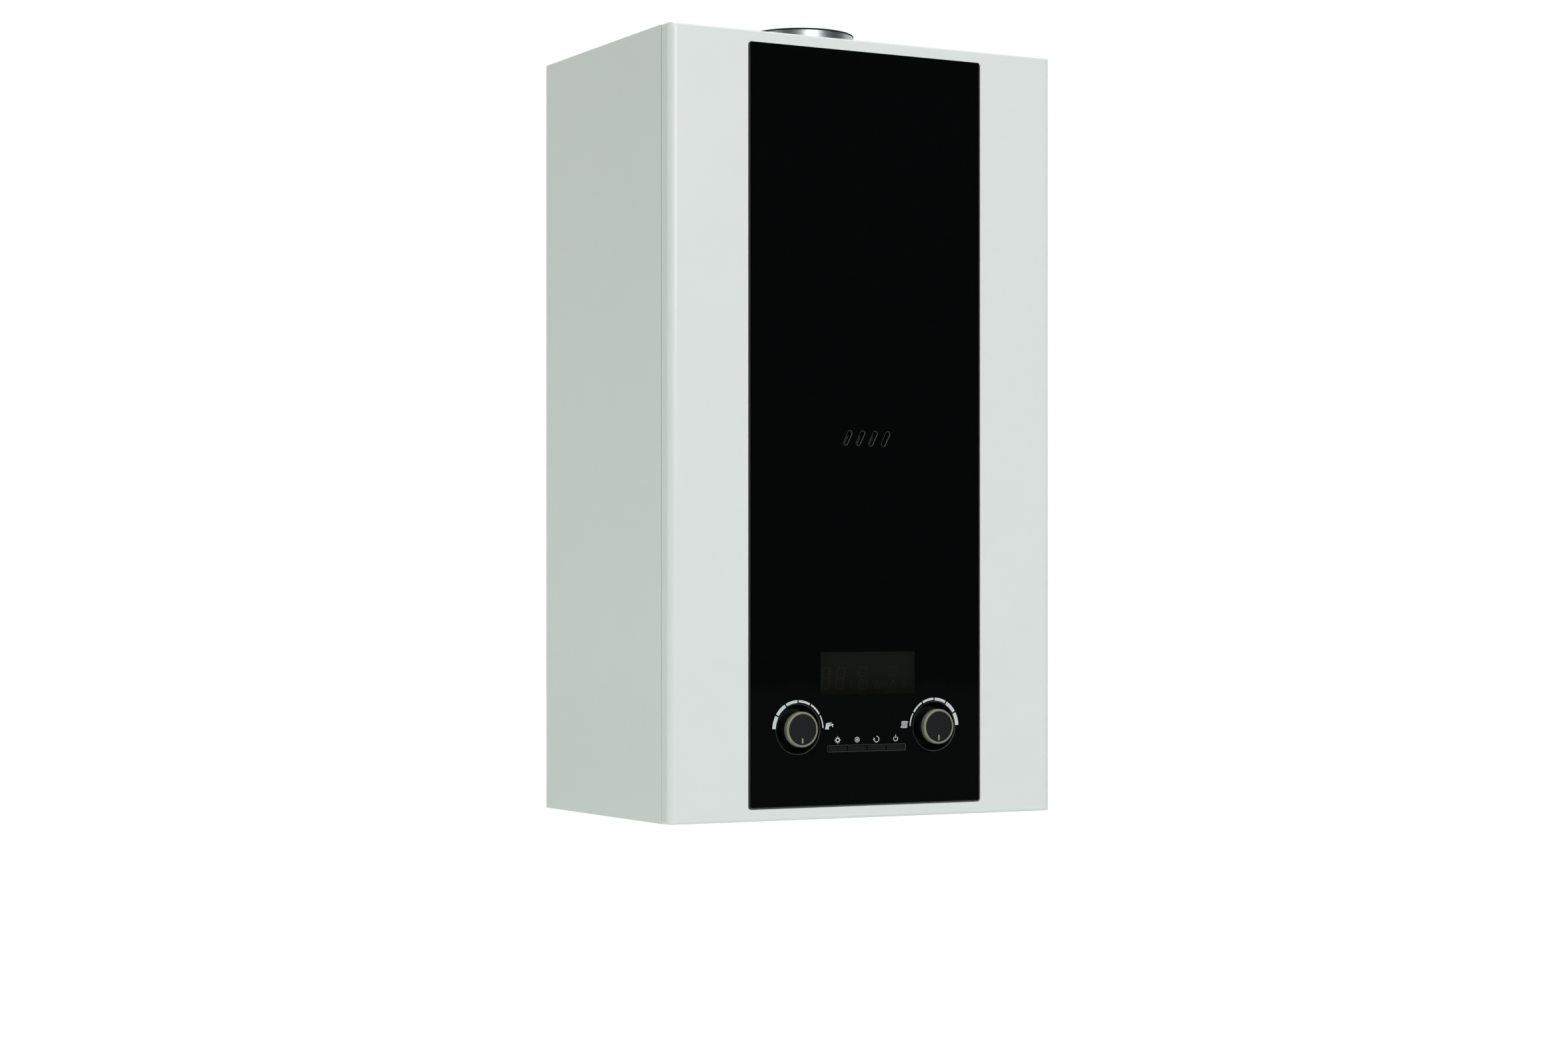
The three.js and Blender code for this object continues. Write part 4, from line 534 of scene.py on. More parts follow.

# %% [markdown]
# ## Glass front
# The panel is 4 mm tempered glass, printed black on its back, with a ground edge. The edge is
# given a grey that is partly its own frosted tone and partly a painted highlight: it stands in for
# the thin line of light that the edge catches. The print stops at the display, so the glass is clear
# there, and a tinted pane stands in that window. The dials, the keys and four slanted viewing slots
# pass through it.
# The holes are part of the outline, so their rims get the same rounding as the outer edge.

# %% Places and measures on the glass
dial_ring = {name: extent_of(f"knob_ring_{name}") for name in ("hot_water", "heating")}
dial_place = {name: (middle(x), middle(height)) for name, (x, _, height) in dial_ring.items()}
key_names = ("summer", "winter", "reset", "power")
key_box = {name: extent_of(f"button_{name}") for name in key_names}
key_level = middle(key_box["summer"][2])
window_x, _, window_height = extent_of("display_module")
FRAME, WINDOW_GAP = 4, 0.02
DIAL_HOLE, GROUND_EDGE = 22.3, 0.6
PAINTED_EDGE_SLOPE = -0.97, -0.15
SLOT_HEIGHT, SLOT_PITCH, SLOT_LEAN, SLOT_WIDTH, SLOT_LENGTH = 345, 13.25, 26.8, 3.8, 14
KEY_HEIGHT, KEY_CLEARANCE = 4.2, 0.4
print("dials at:", {name: [round(v, 1) for v in place] for name, place in dial_place.items()})

# %% The black glass
key_slot = rounded(grow((key_box["summer"][0][0], key_box["power"][0][1]), KEY_CLEARANCE),
                   about(key_level, KEY_HEIGHT / 2 + KEY_CLEARANCE), 0.5, 4)
view_slots = [capsule((SLOT_PITCH * (k - 1.5), SLOT_HEIGHT), SLOT_WIDTH, SLOT_LENGTH, SLOT_LEAN)
              for k in range(4)]
dial_holes = [circle(place, DIAL_HOLE) for place in dial_place.values()]
window_x, window_height = grow(window_x, -FRAME), grow(window_height, -FRAME)
pane = plate(rounded(glass_x, glass_height, 2), glass_depth,
             [*dial_holes, *view_slots, key_slot], GROUND_EDGE, GROUND_EDGE)
window_cut = plate(rounded(window_x, window_height, 0.3, 2), (-1, glass_depth[1] + 1))
glass_front = finished("glass_front", combined(pane, [window_cut]), black_glass, "cover",
                       ("glass_panel",))
# The rounded rims get that grey: partly the ground edge's own tone, partly a painted highlight.
glass_front.data.materials.append(edge_grey_and_highlight)
for face in glass_front.data.polygons:
    if PAINTED_EDGE_SLOPE[0] < face.normal.y < PAINTED_EDGE_SLOPE[1]:
        face.material_index = 1

# %% The tinted window
window_pane = plate(rounded(grow(window_x, -WINDOW_GAP), grow(window_height, -WINDOW_GAP), 0.28, 2),
                    (0.0, glass_depth[1]))
finished("display_window", window_pane, tinted_glass, "cover", ())

# %% [markdown]
# ## Dials
# Each dial is a black knob with a champagne ring pressed on its rim, standing in a dark tapered
# well. All of it is turned, so a profile spun in fine steps gives the true round form. The small
# arcs at the ring's edges matter most: they hold the bright lines that make it look like metal.

# %% Profiles of ring and knob
RING_BORE, RING_RADIUS, RING_EDGE = 14.0, 16.0, 0.25
NECK, SKIRT, SHOULDER, KNOB_WALL, KNOB_REAR, SHAFT_END = 13.7, 15.2, -3.3, 1.8, 8.6, -4.9
HUB, BORE = 5.6, 3.4
POINTER_DROP, POINTER_WIDTH, POINTER_LENGTH = 10.1, 1.6, 5


def ring_profile(front, rear):
    edge = RING_EDGE
    return ([(RING_BORE, rear), *arc((RING_RADIUS - edge, rear - edge), edge, 90, 0, 5)]
            + arc((RING_RADIUS - 0.6, front + 1.3), 0.6, 0, -50, 5)
            + arc((RING_BORE + 0.75, front + 0.35), 0.35, -55, -90, 5)
            + arc((RING_BORE + edge, front + edge), edge, -90, -180, 5) + [(RING_BORE, rear)])


def knob_profile(front, rear):
    return ([(0, front)] + arc((NECK - 0.5, front + 0.5), 0.5, -90, 0, 5)
            + [(NECK, SHOULDER)] + arc((SKIRT - 0.4, SHOULDER + 0.4), 0.4, -90, 0, 5)
            + [(SKIRT, rear), (SKIRT - KNOB_WALL, rear), (SKIRT - KNOB_WALL, SHOULDER + KNOB_WALL),
               (NECK - KNOB_WALL, SHOULDER + KNOB_WALL), (NECK - KNOB_WALL, front + 2.2),
               (HUB, front + 2.2), (HUB, rear + 0.9), (BORE, rear + 0.9), (BORE, SHAFT_END),
               (0, SHAFT_END)])


# %% Rings, knobs and pointers
for name, place in dial_place.items():
    body, ring_depth = f"{name}_dial", dial_ring[name][1]
    face = extent_of(f"knob_{name}")[1][0]
    groove, fill = [
        plate(capsule((place[0], place[1] - POINTER_DROP), POINTER_WIDTH - less,
                      POINTER_LENGTH - less, 0), (face + front, face + rear))
        for less, front, rear in ((0, -1, 0.35), (0.1, 0.08, 0.33))]
    finished(f"dial_ring_{name}", turned(ring_profile(*ring_depth), place), champagne,
             body, (f"knob_ring_{name}",))
    knob = combined(turned(knob_profile(face, KNOB_REAR), place), [groove])
    finished(f"dial_knob_{name}", knob, knob_black, body, (f"knob_{name}",))
    finished(f"dial_pointer_{name}", fill, pointer_grey, body, ())

# %% [markdown]
# ## Keys
# The four keys share one slot under their symbols. They stand a hair proud of the glass, with
# soft edges that draw the faint lines seen in the photograph. Each rides on its own body, because
# each can be pressed alone. A key's flange and stem stay hidden behind the glass.

# %% Push keys
CAP_REAR, FLANGE_DEPTHS, FLANGE_RISE, STEM_FRONT, STEM_HALF = 9.6, (8.4, 10.0), 1.6, 9.0, (2, 1.8)
level = about(key_level, KEY_HEIGHT / 2)
for name, (key_x, key_depth, _) in key_box.items():
    cap = plate(rounded(key_x, level, 0.5, 4), (key_depth[0], CAP_REAR), (), 0.35)
    flange = plate(rounded(key_x, grow(level, FLANGE_RISE), 0.4, 3), FLANGE_DEPTHS, (), 0.2, 0.2, 2)
    stem = plate(rounded(about(middle(key_x), STEM_HALF[0]), about(key_level, STEM_HALF[1]), 0.4, 3),
                 (STEM_FRONT, key_depth[1]), (), 0.0, 0.3, 2)
    finished(f"key_{name}", combined(cap, [flange, stem], "UNION"), key_black, f"{name}_key",
             (f"button_{name}",))

# %% [markdown]
# ## Fascia
# Behind the glass a black moulded fascia carries the wells, the key slot and the display. Only
# its wells and a rim of its raised part can be seen, but with the cover off it shows whole. It is
# drawn as two plates with holes, and a turned cup for each dial.

# %% The fascia and its wells
fascia_x, _, fascia_height = extent_of("control_fascia")
WELL_MOUTH, WELL_FLOOR, WELL_DEPTH, WELL_WALL = 22.6, 18.5, 12.0, 2.0
BOSS_FRONT, PLATE_FRONT, PLATE_BACK = (glass_depth[1] + gap for gap in (GLASS_BED, 1.6, 4.1))
RAISED_PART = (-102, 102), (44, 162), 4
display_hole = rounded(grow(window_x, 0.3), grow(window_height, 0.3), 0.2, 2)
fascia_holes = [display_hole, key_slot,
                *(circle(place, WELL_MOUTH + 1.0) for place in dial_place.values())]
board_plate = plate(rounded(fascia_x, fascia_height, 5), (PLATE_FRONT, PLATE_BACK),
                    fascia_holes, 0.4, 0.4, 2)
raised = plate(rounded(*RAISED_PART), (BOSS_FRONT, PLATE_FRONT + 0.5), fascia_holes, 0.4, 0, 2)
cup_profile = [
    (0, WELL_DEPTH + WELL_WALL), (WELL_FLOOR + WELL_WALL, WELL_DEPTH + WELL_WALL),
    (WELL_MOUTH + WELL_WALL, PLATE_FRONT + 0.8), (WELL_MOUTH + WELL_WALL, BOSS_FRONT + 0.2),
    (WELL_MOUTH + 0.3, BOSS_FRONT), (WELL_MOUTH, BOSS_FRONT + 0.3),
    (WELL_FLOOR + 0.6, WELL_DEPTH - 0.6), (WELL_FLOOR - 0.3, WELL_DEPTH), (4.6, WELL_DEPTH),
    (4.2, WELL_DEPTH - 0.4), (BORE, WELL_DEPTH - 0.4), (BORE, WELL_DEPTH + 1), (0, WELL_DEPTH + 1)]
cups = [turned(cup_profile, place) for place in dial_place.values()]
finished("fascia", combined(board_plate, [raised, *cups], "UNION"), fascia_black, "casing",
         ("control_fascia",))

# %% [markdown]
# ## Prints
# The pale marks on the glass are ink, a twentieth of a millimetre thick here, because a thin
# raised mesh stays sharp at any distance. The scale round each dial follows a rule: six arcs whose
# thickness steps down from the full end to the low end, mirrored on the other dial. Geometry Nodes
# count and bend them: a small grid is copied six times, and then every point is moved onto the
# circle by its place along the row.

# %% A tree that draws a dial's scale
INK = 0.05
INK_DEPTHS = -INK, -0.005


def scale_tree():
    tree, given, outlet = group_of("Geometry", "dial_scale", [
        ("Geometry", "Geometry", None), ("Segments", "Int", 6),
        ("Outer Radius", "Float", 26.2 * MM), ("First Width", "Float", 3.5 * MM),
        ("Last Width", "Float", 1.1 * MM), ("Gap", "Float", 0.055), ("Direction", "Float", 1.0),
        ("Ink", "Float", INK * MM), ("Material", "Material", None)], [("Geometry", "Geometry")])
    count = given["Segments"]

    def geometry(kind, inputs={}, **settings):
        return wired(tree, f"GeometryNode{kind}", inputs, **settings)

    def result(operation, *values):
        return reckoned(tree, operation, *values)

    line = geometry("MeshLine", {"Offset": (1, 0, 0), "Count": count})
    grid = geometry("MeshGrid", {"Size X": 1, "Size Y": 1, "Vertices X": 15, "Vertices Y": 2})
    keep = geometry("StoreNamedAttribute", {
        "Name": "segment", "Geometry": line, "Value": geometry("InputIndex")},
        data_type="FLOAT", domain="POINT")
    copies = geometry("InstanceOnPoints", {"Points": keep, "Instance": grid})
    index = geometry("InputNamedAttribute", {"Name": "segment"}, data_type="FLOAT")
    place = wired(tree, "ShaderNodeSeparateXYZ", {"Vector": geometry("InputPosition")}).outputs
    gaps = result("DIVIDE", result("MULTIPLY", given["Gap"], count), math.pi)
    narrowed = result("MULTIPLY", result("SUBTRACT", place["X"], index),
                      result("SUBTRACT", 1.0, gaps))
    along = result("ADD", result("ADD", narrowed, index), 0.5)
    turn = result("MULTIPLY", result("DIVIDE", along, count), math.pi)
    step = result("DIVIDE", index, result("SUBTRACT", count, 1.0))
    change = result("SUBTRACT", given["Last Width"], given["First Width"])
    width = result("ADD", given["First Width"], result("MULTIPLY", step, change))
    inward = result("MULTIPLY", result("SUBTRACT", 0.5, place["Y"]), width)
    radius = result("SUBTRACT", given["Outer Radius"], inward)
    level = result("MULTIPLY", result("COSINE", turn), radius)
    side = result("MULTIPLY", result("MULTIPLY", level, -1.0), given["Direction"])
    bent = wired(tree, "ShaderNodeCombineXYZ", {
        "X": side, "Z": result("MULTIPLY", result("SINE", turn), radius)})
    arcs = geometry("SetPosition", {
        "Geometry": geometry("RealizeInstances", {"Geometry": copies}), "Position": bent})
    forwards = wired(tree, "ShaderNodeCombineXYZ", {"Y": result("MULTIPLY", given["Ink"], -1.0)})
    raised_ink = geometry("ExtrudeMesh", {"Individual": False, "Mesh": arcs, "Offset": forwards})
    both = geometry("JoinGeometry", {"Geometry": raised_ink})
    fed(both, {"Geometry": geometry("FlipFaces", {"Mesh": arcs})})
    whole = geometry("RealizeInstances", {"Geometry": both})
    fed(outlet, {"Geometry": geometry("SetMaterial", {
        "Geometry": whole, "Material": given["Material"]})})
    return tree


# %% Growing a tree into a plain mesh
GRID_SEAM = 1e-7


def grown(name, tree, values, place=(0, 0, 0), seed_mesh=None):
    """Runs a tree once and keeps its result as a mesh whose place is in its points."""
    holder = linked(name, seed_mesh or bpy.data.meshes.new(name + "_seed"))
    modifier = holder.modifiers.new(name, "NODES")
    modifier.node_group = tree
    for item in tree.interface.items_tree:
        if item.name in values:
            modifier[item.identifier] = values[item.name]
    mesh = evaluated(holder)
    discard(holder)
    drawing = bmesh.new()
    drawing.from_mesh(mesh)
    closed(drawing, GRID_SEAM)
    poured(drawing, mesh).transform(Matrix.Translation(place))
    mesh.name = name
    return linked(name, mesh)


DIAL_SCALE = scale_tree()
for name, direction in (("hot_water", 1.0), ("heating", -1.0)):
    x, height = dial_place[name]
    settled(grown(f"dial_scale_{name}", DIAL_SCALE, {
        "Direction": direction, "Material": print_ink}, at(x, INK_DEPTHS[1], height)), "cover")

# %% [markdown]
# ## Symbols
# The symbols name what each control does: a tap and a radiator for the dials, and a sun, a
# snowflake, a return arrow and a power mark for the keys. They are common signs, drawn here from
# bars, arcs and dots about their own middles. Pushing them with the same `plate` keeps them closed.

# %% Bars, arcs and patches
ORIGIN = 0, 0


def bar(start, end, width):
    """A bar with round ends from one point to another."""
    run, rise = end[0] - start[0], end[1] - start[1]
    return [capsule([middle(pair) for pair in zip(start, end)], width,
                    math.hypot(run, rise) + width, math.degrees(math.atan2(run, rise)), 6)]


def patch(points):
    return [lambda _: points]


def swept(radius, width, start, stop):
    outer, inner = [arc(ORIGIN, radius + side * width / 2, start, stop, 28) for side in (1, -1)]
    return patch(outer + inner[::-1])


def drawn(drawing, forms, depths, x=0, z=0):
    """Pushes forms, each an outline and its holes written about the place x, z."""
    for form in forms:
        outline, *holes = [lambda margin, line=line: [(x + u, z + v) for u, v in line(margin)]
                           for line in form]
        plate(outline, depths, holes, drawing=drawing)


# %% The six symbols
TAP = [patch([(-4.4, -3.1), (-0.5, -3.1), (-0.7, -0.7), (1.8, 0.3), (3.6, 0.2), (4.2, 1.0),
              (3.2, 2.0), (1.8, 1.5), (-0.9, 0.9), (-3.7, 0.7)]),
       patch([(-3.7, 1.0), (-0.9, 1.2), (2.3, 2.7), (2.3, 3.1), (-2.3, 2.6), (-3.8, 2.0)]),
       [circle((3.3, -0.6), 0.5, 16)]]
RADIATOR = [[rounded((-3.0, 3.0), (-3.1, 3.1), 0.9, 4), rounded((-2.5, 2.5), (-2.5, 2.5), 0.4, 3)],
            *(bar((-2.2, 0.8 * k - 2), (2.2, 0.8 * k - 2), 0.38) for k in range(6)),
            bar((3.3, 2.3), (3.8, 2.3), 0.7), bar((-3.8, -2.3), (-3.3, -2.3), 0.7)]
SUN = [[circle(ORIGIN, 2.2, 32), circle(ORIGIN, 1.3, 32)],
       *(bar(inner, around(ORIGIN, (3.2, 2.8)[k % 2], 8)[k], 0.5)
         for k, inner in enumerate(around(ORIGIN, 2.6, 8)))]
SNOWFLAKE = []
for k, (u, v) in enumerate(around(ORIGIN, 2.6, 6, 30)):
    knee = 0.6 * u, 0.6 * v
    SNOWFLAKE += [bar((0.16 * u, 0.16 * v), (u, v), 0.42),
                  *(bar(knee, twig, 0.36) for twig in arc(knee, 1.15, 60 * k - 28, 60 * k + 88, 1))]
RETURN_ARROW = [swept(2.6, 0.62, -178, 92), patch([(-2.6, 1.35), (-3.65, -0.4), (-1.25, 0)])]
POWER_MARK = [swept(2.1, 0.62, -235, 55), bar((0, 0.9), (0, 3.4), 0.6)]

# %% Printing the symbols
SYMBOL_LEVEL, TAP_PLACE, RADIATOR_PLACE = 71.3, (-39.0, 84.3), (39.7, 84.0)
symbols = bmesh.new()
for forms, name in zip((SUN, SNOWFLAKE, RETURN_ARROW, POWER_MARK), key_names):
    drawn(symbols, forms, INK_DEPTHS, middle(key_box[name][0]), SYMBOL_LEVEL)
drawn(symbols, TAP, INK_DEPTHS, *TAP_PLACE)
drawn(symbols, RADIATOR, INK_DEPTHS, *RADIATOR_PLACE)
finished("front_symbols", symbols, print_ink, "cover")

# %% [markdown]
# ## Display
# The display is off, so its segments only show as brown ghosts behind the tinted window: two
# slanted digits, and the small signs beside them, drawn in outline. They are thin plates on the
# module's face. They belong to the case, not to the glass, so they stay behind when the cover
# comes off.

# %% Unlit segments
face_depth = extent_of("display_module")[1][0]
DIGIT_HEIGHT, DIGIT_WIDTH, STROKE, SLANT, DIGIT_GAP = 18.6, 7.6, 1.25, 0.1, 0.25
SIGN_STROKE, LINE_INSET = 0.6, 1.6
GHOST_DEPTHS = face_depth - 0.06, face_depth - 0.01


def segment(start, end, width):
    run, rise = end[0] - start[0], end[1] - start[1]
    length = math.hypot(run, rise)
    tip = width / 2 / length
    return patch([(start[0] + run * share - rise / length * side * width / 2,
                   start[1] + rise * share + run / length * side * width / 2) for share, side in
                  ((0, 0), (tip, 1), (1 - tip, 1), (1, 0), (1 - tip, -1), (tip, -1))])


def digit(x, z):
    gap, tall = DIGIT_GAP, DIGIT_HEIGHT / 2
    strokes = [((column, row * tall + gap), (column, (row + 1) * tall - gap))
               for column in (0, DIGIT_WIDTH) for row in (0, 1)]
    strokes += [((gap, row * tall), (DIGIT_WIDTH - gap, row * tall)) for row in (0, 1, 2)]
    return [segment(*((x + u + SLANT * v, z + v) for u, v in ends), STROKE) for ends in strokes]


def outlined(*points, whole=True):
    return [segment(start, end, SIGN_STROKE)
            for start, end in zip(points, points[1:] + (points[:1] if whole else ()))]


def boxed(x, z, lines):
    """A square sign with level lines in it."""
    levels = [z[0] + (z[1] - z[0]) * (k + 1) / (lines + 1) for k in range(lines)]
    return outlined((x[0], z[0]), (x[1], z[0]), (x[1], z[1]), (x[0], z[1])) + [
        segment((x[0] + LINE_INSET, level), (x[1] - LINE_INSET, level), SIGN_STROKE)
        for level in levels]


# %% Digits and signs
signs = (outlined((-12.2, 123.6), (-15.1, 123.0), (-15.1, 118.0), (-12.2, 117.4), whole=False)
         + boxed((-6.6, 1.2), (117.4, 125.2), 2) + boxed((-6.6, 1.2), (128.9, 137.3), 0)
         + boxed((25.2, 32.4), (128.9, 137.3), 3) + outlined((9.3, 117.6), (15.6, 117.6), (12.4, 123.6))
         + outlined((25.0, 117.4), (33.0, 117.4), (29.0, 125.0))
         + outlined(*around((40.9, 121.0), 2.6, 8)))
ghosts = bmesh.new()
drawn(ghosts, digit(-46.1, 117.8) + digit(-30.9, 117.8) + signs, GHOST_DEPTHS)
finished("display_segments", ghosts, display_ghost, "casing", ())

# %% [markdown]
# ## Side panels
# Each side is one folded sheet: a narrow flange behind the cover, a tight bend, and the large
# flat side. The bend is small, but it draws the bright upright line at the seam, so its arc gets
# real steps. A folded section is a line of square corners, softened and then given a thickness.

# %% Folded sections
FLANGE, FOLD_RADIUS = 14, 2.2
FOOT_SPAN, FOOT_INSET = (11, 0.6), 18


def softened(points, radius, steps=6):
    line = [Vector(point) for point in points]
    result = [line[0]]
    for before, corner, after in zip(line, line[1:], line[2:]):
        back, forth = (before - corner).normalized(), (after - corner).normalized()
        centre = corner + back * radius + forth * radius
        result += [centre - forth * u - back * v for u, v in arc((0, 0), radius, 0, 90, steps)]
    return result + [line[-1]]


def folded(points, radius, thickness, low, high):
    """A folded sheet standing upright: points are [x, depth] along its outer skin."""
    drawing = bmesh.new()
    line = [Vector(point) for point in points]
    runs = [(after - before).normalized() for before, after in zip(line, line[1:])]
    inner_points = [point + sum((Vector((run.y, -run.x)) * thickness
                                 for run in runs[max(k - 1, 0):k + 1]), Vector((0, 0)))
                    for k, point in enumerate(line)]
    outer, inner = softened(line, radius), softened(inner_points, max(radius - thickness, 0.2))
    section = [*outer, *reversed(inner)]
    rings = [[drawing.verts.new((p.x, p.y, z)) for p in section] for z in (low, high)]
    skinned(drawing, rings)
    for ring in rings:
        for k in range(len(outer) - 1):
            drawing.faces.new((ring[k], ring[k + 1], ring[-2 - k], ring[-1 - k]))
    return drawing


for side, sign in (("left", -1), ("right", 1)):
    panel_x, panel_depth, panel_height = extent_of(f"side_panel_{side}")
    outer = panel_x[0] if sign < 0 else panel_x[1]
    line = [(outer - sign * FLANGE, panel_depth[0]), (outer, panel_depth[0]), (outer, panel_depth[1])]
    skin = folded(line[::sign], FOLD_RADIUS, -SHEET, *panel_height)
    foot_x = sorted(outer - sign * inward for inward in FOOT_SPAN)
    foot = plate(rounded(foot_x, (0, SHEET), 0.2, 2), grow(panel_depth, -FOOT_INSET))
    finished(f"side_skin_{side}", combined(skin, [foot], "UNION"), enamel, "casing",
             (f"side_panel_{side}",))

# %% [markdown]
# ## Flue collar
# The collar is spun from galvanised sheet, with a flange on the roof and a plain rim that holds a
# rubber seal. The seal has a groove, so it covers the rim's top and grips it from inside. In the
# photograph only a sliver shows above the cover, a thin dark line over bright metal.

# %% Collar and seal
collar_x, collar_depth, collar_height = extent_of("flue_collar")
flue_place = (middle(collar_x), middle(collar_depth))
seal_x, _, seal_height = extent_of("flue_seal")
BORE_RADIUS, TUBE_RADIUS, FLANGE_RADIUS, FOOT_BEND = 48.8, 50, 64, 1.4
FLANGE_FOOT, FLANGE_TOP = 707.05, 708.2
SEAL_GROOVE, GRIP, SEAL_WALL, SEAL_EDGE = 0.5, 48.75, 2.8, 0.6
FLUE_STEPS = 128
rim = seal_height[0] + SEAL_GROOVE - 0.05
collar = turned([
    (BORE_RADIUS, collar_height[0]), (TUBE_RADIUS, collar_height[0]), (TUBE_RADIUS, FLANGE_FOOT),
    (FLANGE_RADIUS - 0.4, FLANGE_FOOT), (FLANGE_RADIUS, FLANGE_FOOT + 0.35),
    (FLANGE_RADIUS, FLANGE_TOP - 0.3), (FLANGE_RADIUS - 0.4, FLANGE_TOP),
    (TUBE_RADIUS + FOOT_BEND, FLANGE_TOP),
    *arc((TUBE_RADIUS + FOOT_BEND, FLANGE_TOP + FOOT_BEND), FOOT_BEND, 270, 180, 5),
    (TUBE_RADIUS, rim - 0.3), (TUBE_RADIUS - 0.3, rim), (BORE_RADIUS + 0.3, rim),
    (BORE_RADIUS, rim - 0.3), (BORE_RADIUS, collar_height[0])], flue_place, "height", FLUE_STEPS)
finished("collar", collar, fine_zinc, "casing", ("flue_collar",))
outside, (foot, top) = half(seal_x), seal_height
seal = turned([
    (outside - SEAL_WALL, foot), (GRIP, foot), (GRIP, foot + SEAL_GROOVE),
    (outside, foot + SEAL_GROOVE),
    *arc((outside - SEAL_EDGE, top - SEAL_EDGE), SEAL_EDGE, 0, 90, 5),
    *arc((outside - SEAL_WALL + SEAL_EDGE, top - SEAL_EDGE), SEAL_EDGE, 90, 180, 5),
    (outside - SEAL_WALL, foot)], flue_place, "height", FLUE_STEPS)
finished("rim_seal", seal, rubber, "casing", ("flue_seal",))

# %% [markdown]
# ## Screws
# Small pan-head screws hold the collar, the roof and the air chamber's lid. One head is modelled
# with its cross recess, and a tree sets a copy on every point of a list, turned to face the way
# the point says and spun by a seeded random angle, because no two screws stop at the same place.

# %% One pan head
def pan_head(radius, rise):
    edge = 0.45 * radius
    head = turned([
        (0, 0), (radius, 0), *arc((radius - edge, rise - edge), edge, 0, 90, 5), (0, rise)],
        (0, 0), "height", 24)
    cuts = []
    for turn in (0, 90):
        cut = plate(capsule((0, 0), radius * 0.26, radius * 1.25, turn, 4), (-1, 1))
        bmesh.ops.rotate(cut, verts=cut.verts, matrix=Matrix.Rotation(math.radians(90), 3, "X"))
        bmesh.ops.translate(cut, verts=cut.verts, vec=(0, 0, rise + 1 - 0.45 * rise))
        cuts.append(cut)
    return combined(head, cuts)


def screw_tree():
    tree, given, outlet = group_of("Geometry", "screw_rows", [
        ("Geometry", "Geometry", None), ("Screw", "Object", None), ("Size", "Float", 1.0),
        ("Seed", "Int", 7), ("Material", "Material", None)], [("Geometry", "Geometry")])
    head = wired(tree, "GeometryNodeObjectInfo", {"Object": given["Screw"]})
    facing = wired(tree, "GeometryNodeInputNamedAttribute", {"Name": "facing"},
                   data_type="FLOAT_VECTOR")
    aim = wired(tree, "FunctionNodeAlignRotationToVector", {"Vector": facing}, axis="Z")
    chance = wired(tree, "FunctionNodeRandomValue", {"Max": 2 * math.pi, "Seed": given["Seed"]},
                   data_type="FLOAT")
    spin = wired(tree, "ShaderNodeCombineXYZ", {"Z": chance.outputs["Value"]})
    turn = wired(tree, "FunctionNodeRotateRotation", {"Rotation": aim, "Rotate By": spin},
                 rotation_space="LOCAL")
    copies = wired(tree, "GeometryNodeInstanceOnPoints", {
        "Points": given["Geometry"], "Instance": head.outputs["Geometry"], "Rotation": turn,
        "Scale": given["Size"]})
    real = wired(tree, "GeometryNodeRealizeInstances", {"Geometry": copies})
    fed(outlet, {"Geometry": wired(tree, "GeometryNodeSetMaterial", {
        "Geometry": real, "Material": given["Material"]})})
    return tree


# %% Rows of screws
SCREW_ROWS = screw_tree()
SCREW_RADIUS, SCREW_RISE = 3.4, 2.0
screw_head = rough_piece("screw_head", pan_head(SCREW_RADIUS, SCREW_RISE))
screw_head.data.transform(Matrix.Scale(MM, 4))


def screws(name, places, facing, size=1.0):
    """places: x, depth and height of each screw's seat, in millimetres."""
    seats = bpy.data.meshes.new(name + "_seats")
    seats.from_pydata([at(*place) for place in places], [], [])
    directions = seats.attributes.new("facing", "FLOAT_VECTOR", "POINT")
    directions.data.foreach_set("vector", list(facing) * len(places))
    settled(grown(name, SCREW_ROWS, {
        "Screw": screw_head, "Size": size, "Material": steel}, seed_mesh=seats), "casing")


COLLAR_SCREWS, ROOF_SCREWS, LID_INSETS, LID_COLUMNS = 57, (186, (43, 49, 235)), (7, 8), (-90, 0, 90)
roof_top = extent_of("roof_panel")[2][1]
lid_x, lid_depth, lid_height = extent_of("air_chamber_lid")
lid_levels = grow(lid_height, -LID_INSETS[1])
lid_seats = [(side * (lid_x[1] - LID_INSETS[0]), z) for side in (-1, 1)
             for z in (lid_levels[0], middle(lid_height), lid_levels[1])]
lid_seats += [(x, z) for x in LID_COLUMNS for z in lid_levels]
screws("collar_screws", [(*place, FLANGE_TOP) for place in around(flue_place, COLLAR_SCREWS, 4, 45)],
       (0, 0, 1))
screws("roof_screws", [(side * ROOF_SCREWS[0], depth, roof_top) for side in (-1, 1)
                       for depth in ROOF_SCREWS[1]], (0, 0, 1), 0.62)
screws("lid_screws", [(x, lid_depth[1] - SHEET, z) for x, z in lid_seats], (0, -1, 0), 0.9)

# %% [markdown]
# ## The rest of the boiler
# The inner pieces already have their true shapes in the pack. They keep their meshes, and only
# get the finish that such a piece has: zinc on folded sheet, copper on pipes, brass on fittings.
# Each finish lists the starts of its nodes' names.

